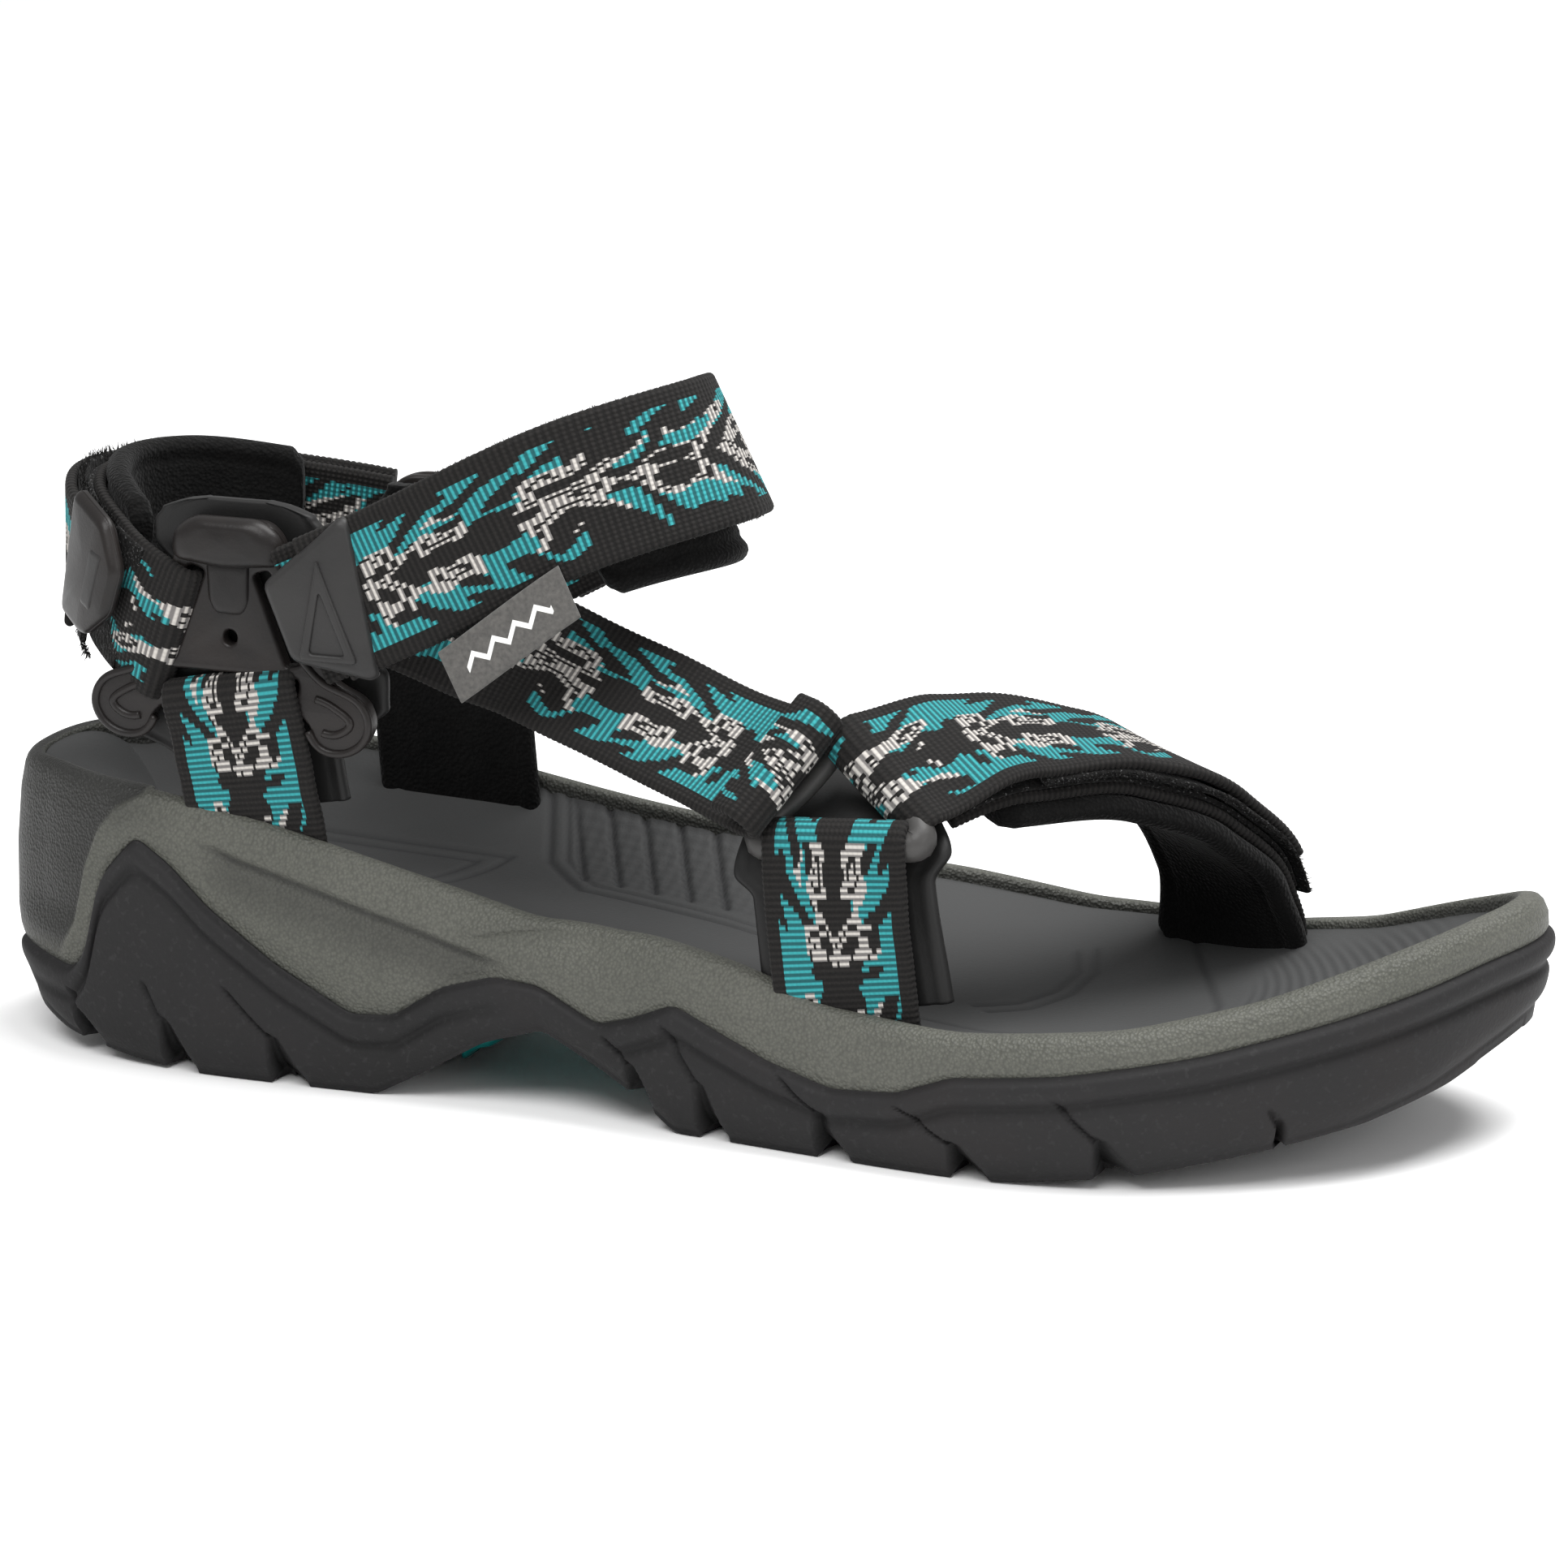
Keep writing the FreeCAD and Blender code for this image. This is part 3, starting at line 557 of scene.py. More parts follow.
def tread_rise(x, y):
    """Height of the grooves cut up into the tread."""
    rise = np.zeros(np.shape(x))
    for _, _, foot_x, wide in GROOVES[:-1]:
        bend = 4.5 * np.cos(np.clip(y / 45, -1, 1) * math.pi / 2)
        share = (x - foot_x - bend) / wide
        inside = smoothstep(share * wide, -0.2, 0.4) * np.clip(1.05 - share, 0, 1) ** 0.6
        rise = np.maximum(rise, 3.0 * inside)
    past_arch = smoothstep(np.abs(x + 30), 26, 32)
    centre = smoothstep(7 - np.abs(y - 1), 0, 1.5)
    return np.maximum(rise, 2.2 * centre) * past_arch


def wall_rows(shares, low, high, insets):
    """Loops up a wall between two heights, each insets(share, heights) inside the outline."""
    rows = []
    for share in shares:
        z = low + (high - low) * share
        rows.append(np.column_stack([inset(insets(share, z)), z]))
    return rows


def toward_spine(start, z_at, shares):
    """Loops that close from a plan loop to the centre line; z_at gives the height."""
    loops = []
    for share in shares:
        flat = start + (spine - start) * share
        loops.append(np.column_stack([flat, z_at(flat[:, 0], flat[:, 1], share)]))
    return loops


def sole_piece(name, hidden, loops, tints, material, slot, node, lid=()):
    """A piece of the sole; the hidden loops before it and the lid after it get no painted shade."""
    plain = np.zeros(COLUMNS)
    tint = np.concatenate([plain] * len(hidden) + tints + [plain] * len(lid))
    obj = lofted(name, hidden + loops + list(lid), material, "open", 1e-5, tint=tint)
    settle(obj, "root", slot, node)


def bell(value, width, power=2):
    return np.exp(-(value / width) ** power)


def build_outsole():
    foot = under(base_x)
    top = np.maximum(wave(base_x), foot + 0.8)
    tall = top - foot
    shares = np.concatenate([[0.0, 0.012, 0.03, 0.055], np.linspace(0.085, 0.95, 52),
                             [0.965, 0.975, 0.985, 0.993, 1.0]])

    def insets(share, z):
        up = share * tall
        down = (1 - share) * tall
        # Foot edge tucks in, a lip runs along the top with a shallow trough below it.
        tuck = np.minimum(2.4 * bell(up, 2.0, 1.3) + 1.1 * bell(up, 9.0), 3.0)
        lip = 1.5 * bell(down, 0.8) - 0.35 * bell(down - 2.6, 1.6)
        trough = 0.95 * bell(down - 5.6, 1.1) * smoothstep(tall, 9, 14)
        return tuck + lip + trough + groove_depth(base_x, z) * smoothstep(down, 0.5, 2.5) + 0.1

    loops = wall_rows(shares, foot, top, insets)
    notch = groove_depth(base_x, foot + 0.1) / 4.5
    tints = []
    for share, row in zip(shares, loops):
        row[:, 2] += 2.0 * notch * bell(share, 0.25)
        # Painted shade in the slits and along the trough below the lip.
        trough_shade = 0.3 * bell(top - row[:, 2] - 5.8, 0.7) * smoothstep(tall, 9, 14)
        tints.append(np.clip(np.maximum((groove_depth(base_x, row[:, 2]) - 0.5) / 2.2, trough_shade), 0, 0.85))
    # Underside, from the foot edge to the centre line.
    edge_lift = loops[0][:, 2] - foot

    def below(x, y, share):
        fade = bell(share, 0.03)
        return under(x) + np.maximum(edge_lift * fade, tread_rise(x, y) * (1 - fade))

    bottom = toward_spine(loops[0][:, :2], below, [0.01, 0.03, 0.05, *np.linspace(0.08, 1.0, 40)])[::-1]
    # Inner closure, hidden inside the foam.
    lid = toward_spine(loops[-1][:, :2],
                       lambda x, y, share: (1 - share) * (top - 0.6) + share * (under(x) + 5.5),
                       [0.06, 0.2, 0.5, 1.0])
    # Painted shade in the grooves of the tread.
    below_tints = [np.clip(tread_rise(r[:, 0], r[:, 1]) / 5, 0, 0.5) for r in bottom]
    sole_piece("outsole_rubber", [], bottom + loops, below_tints + tints, "rubber", "rubber_tread",
               "outsole", lid)


# Sculpted lines on the foam wall as (x, z) runs.
LONG_CREASE = [(-92, 42.5), (-83, 39.3), (-71.6, 36.2), (-59.3, 32.6), (-50, 30.2), (-38.6, 27.0),
               (-30, 25.6)]
SHORT_CREASE = [(-40, 31.2), (-32, 33.0), (-22.5, 34.4), (-12, 33.8)]
HEEL_FOLD = [(-121, 15), (-116.5, 24), (-113.9, 34.6), (-111, 41.5), (-107.2, 46.2), (-101.4, 49.3),
             (-92, 49.5)]


def foam_relief(x, z):
    """Inward offset of the foam wall from its creases, and the painted shade at each place."""
    crease = near_line(x, z, LONG_CREASE)
    under_crease = np.interp(x, *zip(*LONG_CREASE)) - z
    ends = smoothstep(x, -93, -84) * (1 - smoothstep(x, -40, -30))
    below = smoothstep(under_crease, 0.0, 0.7) * (1 - smoothstep(under_crease, 3, 11)) * ends
    depth = bell(crease, 0.75) * ends + 0.75 * below
    # Painted shade in the long crease and on the wall below it.
    dark = 0.75 * bell(crease, 0.55) * ends + 0.42 * below
    ridge = near_line(x, z, SHORT_CREASE)
    under_ridge = np.interp(x, *zip(*SHORT_CREASE)) - z
    depth += (0.7 * smoothstep(under_ridge, 0.2, 1.4) * (1 - smoothstep(under_ridge, 2, 7))
              * smoothstep(x, -41, -36) * (1 - smoothstep(x, -20, -12)) - 0.5 * bell(ridge, 1.3))
    # Painted shade along the short ridge.
    dark += 0.12 * bell(ridge, 1.2)
    fold_x = np.interp(z, [p[1] for p in HEEL_FOLD], [p[0] for p in HEEL_FOLD])
    behind = smoothstep(fold_x - x, 0.0, 1.1)
    fade = smoothstep(x, -137, -126)
    depth += fade * (1.5 * behind * smoothstep(z, 20, 27) - 0.35 * bell(near_line(x, z, HEEL_FOLD), 1.0))
    # Painted shade on the heel wall behind the fold, and high on the wall towards the heel.
    dark += 0.95 * behind * smoothstep(z, 15, 22)
    dark += 0.7 * smoothstep(-x, 92, 116) * smoothstep(z, 40, 48) * (1 - behind)
    return depth, np.clip(dark, 0, 0.9)


WALL_TOP = 0.93   # share of the foam wall's height where its rounded rim begins
RIM_CROWN = [(0.45, 0.965), (0.95, 0.985), (1.6, 0.997), (2.3, 1.0), (2.9, 0.995)]   # inset, share
RIM_STEP = [(3.4, 0.35), (3.65, 0.9), (3.8, 1.6), (3.9, 3.5)]   # inset and drop to the footbed


def build_midsole():
    low = wave(base_x) - 0.4
    high = rim(base_x, base_y)
    shares = [0.0, 0.02, 0.045, 0.08, *np.linspace(0.12, 0.9, 34), WALL_TOP]

    def insets(share, z):
        bulge = np.interp(share, [0, 0.04, 0.15, 0.5, 0.8, WALL_TOP], [1.9, 1.5, 1.15, 1.3, 2.1, 2.9])
        return bulge + foam_relief(base_x, z)[0] * smoothstep(share, 0.0, 0.07)

    loops = wall_rows(shares, low, high, insets)
    # Painted shade from the creases, and at the foot of the wall where the foam tucks in above the
    # outsole.
    tints = [np.maximum(foam_relief(row[:, 0], row[:, 2])[1], 0.8 * bell(share, 0.03))
             for share, row in zip(shares, loops)]
    wall_z, wall_tint = loops[-1][:, 2], tints[-1]
    wall_inset = insets(WALL_TOP, wall_z)
    for extra, share in RIM_CROWN:
        z = wall_z + (high - wall_z) * (share - WALL_TOP) / (1 - WALL_TOP)
        loops.append(np.column_stack([inset(wall_inset + extra), z]))
        tints.append(wall_tint)
    for extra, drop in RIM_STEP:
        loops.append(np.column_stack([inset(wall_inset + extra), high - drop]))
        # Painted shade that deepens down the step to the footbed.
        tints.append(np.full(COLUMNS, min(0.9, 0.2 + drop * 0.3)))
    under_bed = toward_spine(loops[-1][:, :2], lambda x, y, share: bed_height(x, y) - 3.4,
                             [0.1, 0.4, 0.7, 1.0])
    hidden = toward_spine(loops[0][:, :2],
                          lambda x, y, share: (1 - share) * (low - 0.8) + share * (under(x) + 7),
                          [0.05, 0.3, 0.65, 1.0])
    sole_piece("midsole_foam", hidden[::-1], loops, tints, "foam", "foam", "midsole", under_bed)


BED_INSET = 5.9
BED_DROP = 1.3
outer_edge = inset(BED_INSET)[:STATIONS].T
inner_edge = inset(BED_INSET)[STATIONS:][::-1].T


def bed_height(x, y):
    """Dished footbed: low along the middle, up to the rim at its edge."""
    left = np.interp(x, *outer_edge)
    right = np.interp(x, *inner_edge)
    share = np.clip(np.abs(y - (left + right) / 2) / np.maximum((right - left) / 2, 1.0), 0, 1.0)
    edge = rim(x, np.clip(y, left, right)) - BED_DROP
    ends = smoothstep(np.abs(x), 108, TIP_X - BED_INSET)
    middle = bed_middle(x)
    return middle + (edge - middle) * np.maximum(share ** 2.3, ends ** 1.6 * 0.999)


def rectangle(x0, y0, x1, y1, slant=0.0):
    return [(x0, y0), (x1, y0), (x1 + slant, y1), (x0, y1), (x0, y0)]


ARCH_PANEL = [(-48, 30), (-42, 12), (-33, 3), (4, 1), (10, 8), (10, 30), (-30, 33), (-48, 30)]
ARCH_INNER = [(-44, 28), (-39, 13), (-31.5, 6), (2, 4), (7, 9), (7, 27), (-30, 30), (-44, 28)]
BED_LINES = [
    (rectangle(-108, -13, -57, 11, 8), 0.45, 0.7),
    (rectangle(-104.5, -10, -60, 8, 6), 0.45, 0.7),
    (ARCH_PANEL, 0.6, 0.7),
    (ARCH_INNER, 0.45, 0.5),
    ([(46, -12), (52, -6), (56, 4), (57, 16), (54, 26)], 0.4, 0.7),
    ([(43, -10), (49, -4), (53, 5), (54, 15), (51, 24)], 0.4, 0.7),
    ([(28, -26), (50, -27), (72, -22), (83, -12)], 0.3, 0.8),
    ([(83, -12), (82, 4), (76, 20), (70, 34)], 0.4, 0.8),
]


def bed_relief(x, y):
    """Depth of the lines and ribs pressed into the footbed."""
    depth = np.zeros(np.shape(x))
    for points, deep, wide in BED_LINES:
        depth = np.maximum(depth, deep * bell(near_line(x, y, points), wide))
    # Slanted ribs and small knobs of the arch panel.
    inside = (smoothstep(x + 0.35 * y, -34, -32) * (1 - smoothstep(x, 2, 5))
              * smoothstep(y, 6.5, 8.5) * (1 - smoothstep(y, 26, 28)))
    slot = bell(np.mod(x + 0.45 * (y - 8) + 44, 6.6) - 3.3, 0.6)
    knobs = np.sin((x + 1.1 * y) * 1.35) * np.sin((x - 1.1 * y) * 1.35)
    depth = np.maximum(depth, inside * (0.85 * slot + 0.12 * knobs + 0.12))
    # Fine waves under the toes, and a dimple at the tip.
    toes = smoothstep(x, 84, 88) * (1 - smoothstep(x, 112, 120)) * (1 - smoothstep(np.abs(y - 4), 20, 32))
    waves = 1 + np.sin((x + 0.012 * (y - 4) ** 2) * 2 * math.pi / 2.1)
    return depth + 0.13 * toes * waves + 0.5 * bell(np.hypot(x - 122, y - 6), 1.8)


def build_footbed():
    start = inset(BED_INSET - 0.35)
    loops = toward_spine(
        start, lambda x, y, share: bed_height(x, y) - bed_relief(x, y) - 0.5 * bell(share, 0.012),
        [0.0, 0.008, 0.018, *np.linspace(0.03, 1.0, 66)])
    # Painted shade in the lines and ribs pressed into the footbed.
    tints = [np.clip(bed_relief(r[:, 0], r[:, 1]) * 1.1, 0, 0.8) for r in loops]
    floor = toward_spine(start, lambda x, y, share: bed_height(x, y) - 2.6, [0.0, 0.05, 0.4, 1.0])
    sole_piece("footbed_skin", floor[::-1], loops, tints, "footbed", "footbed_foam", "footbed")


def build_shank():
    low, high = (np.array(c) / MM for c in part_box("shank"))
    angles = np.linspace(0, 2 * math.pi, 44, endpoint=False)
    across, lift = np.cos(angles), np.sin(angles)
    y = (low[1] + high[1]) / 2 + (high[1] - low[1]) / 2 * np.sign(across) * np.abs(across) ** 0.35
    flat = np.sign(lift) * np.abs(lift) ** 0.5
    rows = []
    for x in np.linspace(low[0] + 10, high[0] - 0.4, 60):
        ridge = 0.35 * math.cos(x * 2 * math.pi / 6.0)
        z = np.maximum(under(x) - 0.9 + 2.0 * flat - ridge * (flat < 0), 0.5)
        rows.append(np.column_stack([np.full(len(y), x), y, z]))
    settle(lofted("shank_plate", rows, "teal", distance=1e-5), "root", "shank_plastic", "shank")


build_outsole()
build_midsole()
build_footbed()
build_shank()


# ------------------------------------------------------------------ strap routes
class Route:
    """Middle surface of a strap, from keys of a point and a direction across; the outward
    normal is tangent x across. Past either end it runs straight, or curls round a bar."""

    def __init__(self, keys, curl_start=None, curl_end=None):
        keys = np.array(keys, float)
        self.path = Spline(keys[:, :3])
        self.length = self.path.length
        self.across = unit(keys[:, 3:])
        self.curls = (curl_start, curl_end)

    def frame(self, share):
        """Point, across, outward normal and tangent at each share of the length."""
        share = np.atleast_1d(np.asarray(share, float))
        inside = np.clip(share, 0, 1)
        point, slope = self.path.at(inside)
        tangent = unit(slope)
        t = self.path.t
        i = np.clip(np.searchsorted(t, inside, side="right") - 1, 0, len(t) - 2)
        f = smoothstep(inside, t[i], t[i + 1])[:, None]
        side = self.across[i] * (1 - f) + self.across[i + 1] * f
        normal = unit(np.cross(tangent, side))
        across = unit(np.cross(normal, tangent))
        past = (share - inside) * self.length
        for sign, radius in zip((-1, 1), self.curls):
            which = past * sign > 0
            if not which.any():
                continue
            run = np.abs(past[which])[:, None]
            out, up = tangent[which] * sign, normal[which]
            if radius is None:
                point[which] += out * run
                continue
            turn = np.minimum(run / radius, math.pi)
            tail = np.maximum(run - radius * math.pi, 0)
            point[which] += out * (radius * np.sin(turn) - tail) - up * radius * (1 - np.cos(turn))
            normal[which] = up * np.cos(turn) + out * np.sin(turn)
            tangent[which] = np.cross(across[which], normal[which])
        return point, across, normal, tangent


# Keys: x, y, z on the middle surface, then the direction across the strap there.
INSTEP = Route([
    (-71, -31.3, 83.2, -0.33, 0, 0.94),
    (-49, -29, 93.5, -0.3, 0.05, 0.95),
    (-24, -22.5, 106, -0.38, 0.06, 0.92),
    (-8, 0, 109.3, -0.46, 0.02, 0.88),
    (-22, 22.5, 102, -0.4, -0.06, 0.91),
    (-39, 29.5, 92, -0.35, -0.03, 0.94),
    (-52.5, 31.3, 84.5, -0.35, 0, 0.94),
])
HEEL = Route([
    (-97, -29.5, 78.5, -0.2, 0, -0.98),
    (-109.5, -21, 83.5, -0.1, -0.02, -0.99),
    (-118.5, -8, 87.5, -0.03, 0, -1),
    (-120.5, 6, 88, 0, 0, -1),
    (-114, 18.5, 87.5, 0, 0, -1),
    (-99, 28.5, 85, -0.05, 0, -1),
    (-79.5, 31.3, 82.5, -0.15, 0, -0.98),
], curl_start=2.2)
TOES = [
    (46, -7, 62.5, -0.7, 0.62, 0.35),
    (60, 9, 58.5, -0.72, 0.66, 0.15),
    (71, 24, 49, -0.8, 0.58, 0.05),
    (76.5, 35, 36, -0.9, 0.4, 0),
    (76, 39.5, 17, -1, 0.05, 0),
]
TOE = Route([(30.5, -23.5, 60, -0.62, 0.5, 0.6)] + TOES)
TOE_FLAP = Route([(34.6, -28.6, 64.6, -0.66, 0.5, 0.56)] + TOES, curl_start=3.0)
DIAGONAL = Route([
    (17.6, -33, 62.8, 0.44, 0.58, 0.68),
    (1, -23.5, 65, 0.15, 0.76, 0.63),
    (-16, -19.5, 70, 0.15, 0.75, 0.65),
    (-32, -18.5, 76, 0.12, 0.7, 0.7),
    (-46, -20.8, 82.6, -0.05, 0.4, 0.91),
    (-57, -24.2, 87.6, -0.25, 0.1, 0.96),
], curl_start=3.0)
OUTER_ANCHOR = Route([
    (-80, -27.6, 40, -1, 0, 0), (-82, -29.6, 55, -1, 0, -0.1), (-84.3, -30.9, 68.2, -1, 0, -0.15),
], curl_end=2.6)
INNER_ANCHOR = Route([
    (-63, 28.2, 38.5, 1, 0, 0), (-64.5, 28.7, 54, 1, 0, 0.05), (-66, 28.9, 67.2, 1, 0, 0.05),
])
TOE_ANCHOR = Route([
    (30.9, -39.6, 18.5, -1, 0, 0.1), (28.5, -39.6, 36, -1, 0, 0), (27, -39.1, 53.3, -1, 0, -0.05),
], curl_end=3.0)
OUTER_LINING = Route([
    (-80.5, -23.4, 47.5, 1, 0, 0), (-83, -24, 66, 1, 0, 0.1), (-84.3, -24, 84, 1, 0, 0.1),
    (-84.6, -24, 101.5, 1, 0, 0),
])
INNER_LINING = Route([
    (-63, 24.4, 36, 1, 0, 0), (-65, 23.9, 62, 1, 0, 0.05), (-66, 23.5, 80, 1, 0, 0),
    (-66, 23.4, 95, 1, 0, 0),
])
TOE_LINING = Route([
    (31, -35.6, 24.5, 1, 0, -0.14), (28.5, -34.8, 38, 1, 0, 0), (26.5, -32.2, 49, 1, 0, 0.05),
    (25, -25.6, 56, 1, 0, 0), (25, -16, 59.5, 1, 0, 0),
])

# Offsets of the layers from the route, outward positive.
GAP = 0.15
LOOP_THICK = 0.95
HOOK_THICK = 1.2
PAD_THICK = 4.0
BODY_GAP = 0.45
BASE = -(LOOP_THICK + GAP) / 2
LOOP = BASE + WEB_THICK / 2 + GAP + LOOP_THICK / 2
HOOK = LOOP + LOOP_THICK / 2 + BODY_GAP + HOOK_THICK / 2
FLAP = HOOK + HOOK_THICK / 2 + GAP + WEB_THICK / 2
PAD = BASE - WEB_THICK / 2 - 2 * GAP - PAD_THICK / 2
LOOP_WIDTH = WEB * 0.94
FLAP_WIDTH = WEB * 1.04
RIB_HEIGHT = 0.22


def section(width, thick, points, bead):
    """Closed band section from its inner face round: across and out. The edges are round,
    with a rolled bead if bead is over zero."""
    half = thick / 2
    flat = np.linspace(-1, 1, points) * (width / 2 - half)
    turn = np.linspace(-math.pi / 2, math.pi / 2, 8)[1:-1]
    edge = width / 2 - half + half * np.cos(turn)
    across = np.concatenate([flat, edge, flat[::-1], -edge])
    face = np.full(points, half)
    out = np.concatenate([-face, half * np.sin(turn), face, -half * np.sin(turn)])
    if bead:
        out = out * (1 + bead * bell(np.abs(across) - (width / 2 - 1.5), 1.1)
                     - 0.16 * bell(np.abs(across) - (width / 2 - 3.8), 0.55))
    return across, out


def ribbon(name, route, start, end, offset, thick, width, material, slide=0.0, ribs=0.0, bead=0.0,
           step=0.25, points=22, bend=None):
    """A rounded band along a route. width is one number or (share, width) pairs; ribs is
    the height of the cross ribs; bend(share, across) gives an extra outward offset."""
    keys = np.array(width if isinstance(width, list) else [(start, width), (end, width)], float)
    shares = np.linspace(start, end, max(6, int((end - start) * route.length / step)))
    point, side, normal, _ = route.frame(shares)
    spot = np.clip(np.searchsorted(keys[:, 0], shares, side="right") - 1, 0, len(keys) - 2)
    ease = smoothstep(shares, keys[spot, 0], keys[spot + 1, 0])
    widths = keys[spot, 1] * (1 - ease) + keys[spot + 1, 1] * ease
    full = keys[:, 1].max()
    across, out = section(full, thick, points, bead)
    along = shares * route.length
    a = across * (widths / full)[:, None]
    o = np.tile(out, (len(shares), 1))
    if ribs:
        swell = ribs * (np.abs(np.sin(math.pi * along / RIB)) ** 0.7 - 0.6)[:, None]
        o = o * (1 + 2 * swell / thick)
        a = a + np.sign(a) * smoothstep(np.abs(a), full / 2 - 1.2, full / 2) * swell
    lift = offset + o
    if bend is not None:
        lift = lift + bend(shares[:, None], a)
    uvs = np.stack([np.broadcast_to(along[:, None], a.shape), a], axis=2) * 0.01
    a = a + np.interp(shares, [start, end], np.broadcast_to(slide, 2))[:, None]
    rows = point[:, None] + side[:, None] * a[:, :, None] + normal[:, None] * lift[:, :, None]
    return lofted(name, rows, material, uvs=uvs.reshape(-1, 2))


def webbing(name, route, start, end, offset, body, *nodes, width=WEB, **extra):
    obj = ribbon(name, route, start, end, offset, WEB_THICK, width, "webbing", ribs=RIB_HEIGHT, **extra)
    return settle(obj, body, "webbing", *nodes)


def ripple(seed, size=0.25):
    """A slight unevenness, as in worn webbing."""
    phase = np.random.default_rng(seed).uniform(0, 6.28, 3)

    def bend(share, across):
        return size * (np.sin(share * 9 + phase[0]) * 0.5 + np.sin(share * 23 + phase[1]) * 0.3
                       + np.sin(share * 15 + phase[2]) * across / 12.5 * 0.5)
    return bend


def tufts(name, route, start, end, body, per_mm, long):
    """Short fibres that stand out from both long edges of a hook tape."""
    count = int((end - start) * route.length * per_mm)
    random = np.random.default_rng(len(name))
    fibres = []
    for sign in (-1, 1):
        point, side, normal, tangent = route.frame(random.uniform(start, end, count))
        lift = HOOK + random.uniform(-0.5, 0.5, count)[:, None]
        root = point + side * sign * (FLAP_WIDTH / 2 - 0.3) + normal * lift
        reach = long * random.uniform(0.4, 1.0, count)[:, None]
        aim = unit(side * sign + normal * random.normal(0, 0.35, (count, 1))
                   + tangent * random.normal(0, 0.45, (count, 1)))
        low = root - normal * 0.08
        fibres.append(np.stack([root + normal * 0.13, low + tangent * 0.13, low - tangent * 0.13,
                                root + aim * reach], axis=1))
    vertices = np.concatenate(fibres).reshape(-1, 3)
    faces = [(k + a, k + b, k + c) for k in range(0, len(vertices), 4)
             for a, b, c in ((0, 1, 3), (1, 2, 3), (2, 0, 3), (0, 2, 1))]
    settle(make_object(name, vertices, faces, "tape", smooth=False), body, "closure_tape")


def tapes(name, route, loop, hook, fibres, per_mm, long):
    """Loop tape on the base webbing, hook tape under the flap and fibres at its edges."""
    body = name + "_flap_body"
    settle(ribbon(name + "_loop_face", route, *loop, LOOP, LOOP_THICK, LOOP_WIDTH, "tape"),
           "root", "closure_tape", name + "_loop_tape")
    settle(ribbon(name + "_hook_face", route, *hook, HOOK, HOOK_THICK, FLAP_WIDTH, "tape"),
           body, "closure_tape", name + "_flap_hook")
    tufts(name + "_hook_fibres", route, *fibres, body, per_mm, long)


def flap(name, route, start, end, bend, way, before, after, *nodes, width=WEB, moves_first=True):
    """The outer webbing, one piece bent across its hinge; way points along it there and is not used."""
    obj = ribbon(name + "_flap_web", route, start, end, FLAP, WEB_THICK, width, "webbing",
                 ribs=RIB_HEIGHT, bend=bend)
    way = Vector(way).normalized() * MM
    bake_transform(obj)
    settle(obj, None, "webbing", *nodes)


def pad(name, route, start, end, reach, width, slide=0.0):
    """Padded lining with rolled edges; reach is how far its round ends go, as a share."""
    fall = [(0.0, 0.45), (0.12, 0.72), (0.35, 0.9), (1.0, 1.0)]
    widths = ([(start + t * reach, w * width) for t, w in fall]
              + [(end - t * reach, w * width) for t, w in fall[::-1]])
    obj = ribbon(name + "_pad_roll", route, start, end, PAD, PAD_THICK, widths, "lining",
                 slide=slide, bead=0.12, step=0.6, points=40)
    settle(obj, "root", "padded_lining", name + "_pad")


def heel_bulge(share, across):
    """The base webbing bulges where it leaves the outer heel guide."""
    return 1.6 * bell(share - 0.07, 0.09) * np.cos(np.clip(across / 12.5, -1, 1) * 1.3)


puff = ripple(6, 0.4)


def toe_fold(share, across):
    """The toe flap starts at the ring, close to the route, and rises onto the tapes."""
    return puff(share, across) - (FLAP - 0.3) * (1 - smoothstep(share, 0.0, 0.16))


webbing("instep_web", INSTEP, 0.0, 1.0, BASE, "root", "instep_strap", bend=ripple(1))
tapes("instep", INSTEP, (0.08, 0.80), (0.09, 0.66), (0.09, 0.655), 5.0, 0.9)
flap("instep", INSTEP, 0.045, 0.985, ripple(2), (0, 1, 0), 4.0, 3.0, "instep_flap",
     "instep_flap_root", width=FLAP_WIDTH)
pad("instep", INSTEP, 0.36, 0.78, 0.03, 31, slide=-3.0)
webbing("diagonal_web", DIAGONAL, -0.16, 1.0, 0, "root", "diagonal_strap", bend=ripple(3, 0.5))

webbing("heel_web", HEEL, -0.12, 1.0, BASE, "root", "heel_strap", bend=heel_bulge)
tapes("heel", HEEL, (0.08, 0.62), (0.20, 0.62), (0.15, 0.61), 7, 2.2)
flap("heel", HEEL, 0.255, 0.985, ripple(4), (0.5, 0.85, 0), 4.0, 3.0, "heel_flap", "heel_flap_root")
pad("heel", HEEL, 0.17, 0.84, 0.04, 31)

webbing("toe_web", TOE, 0.07, 1.0, BASE, "root", "toe_strap", bend=ripple(5))
tapes("toe", TOE, (0.10, 0.84), (0.24, 0.86), (0.24, 0.86), 7, 1.6)
flap("toe", TOE_FLAP, -0.12, 0.80, toe_fold, (0.669, 0.706, 0.231), 3.0, 4.0, "toe_flap",
     moves_first=False)
pad("toe", TOE, 0.16, 0.99, 0.04, 28)

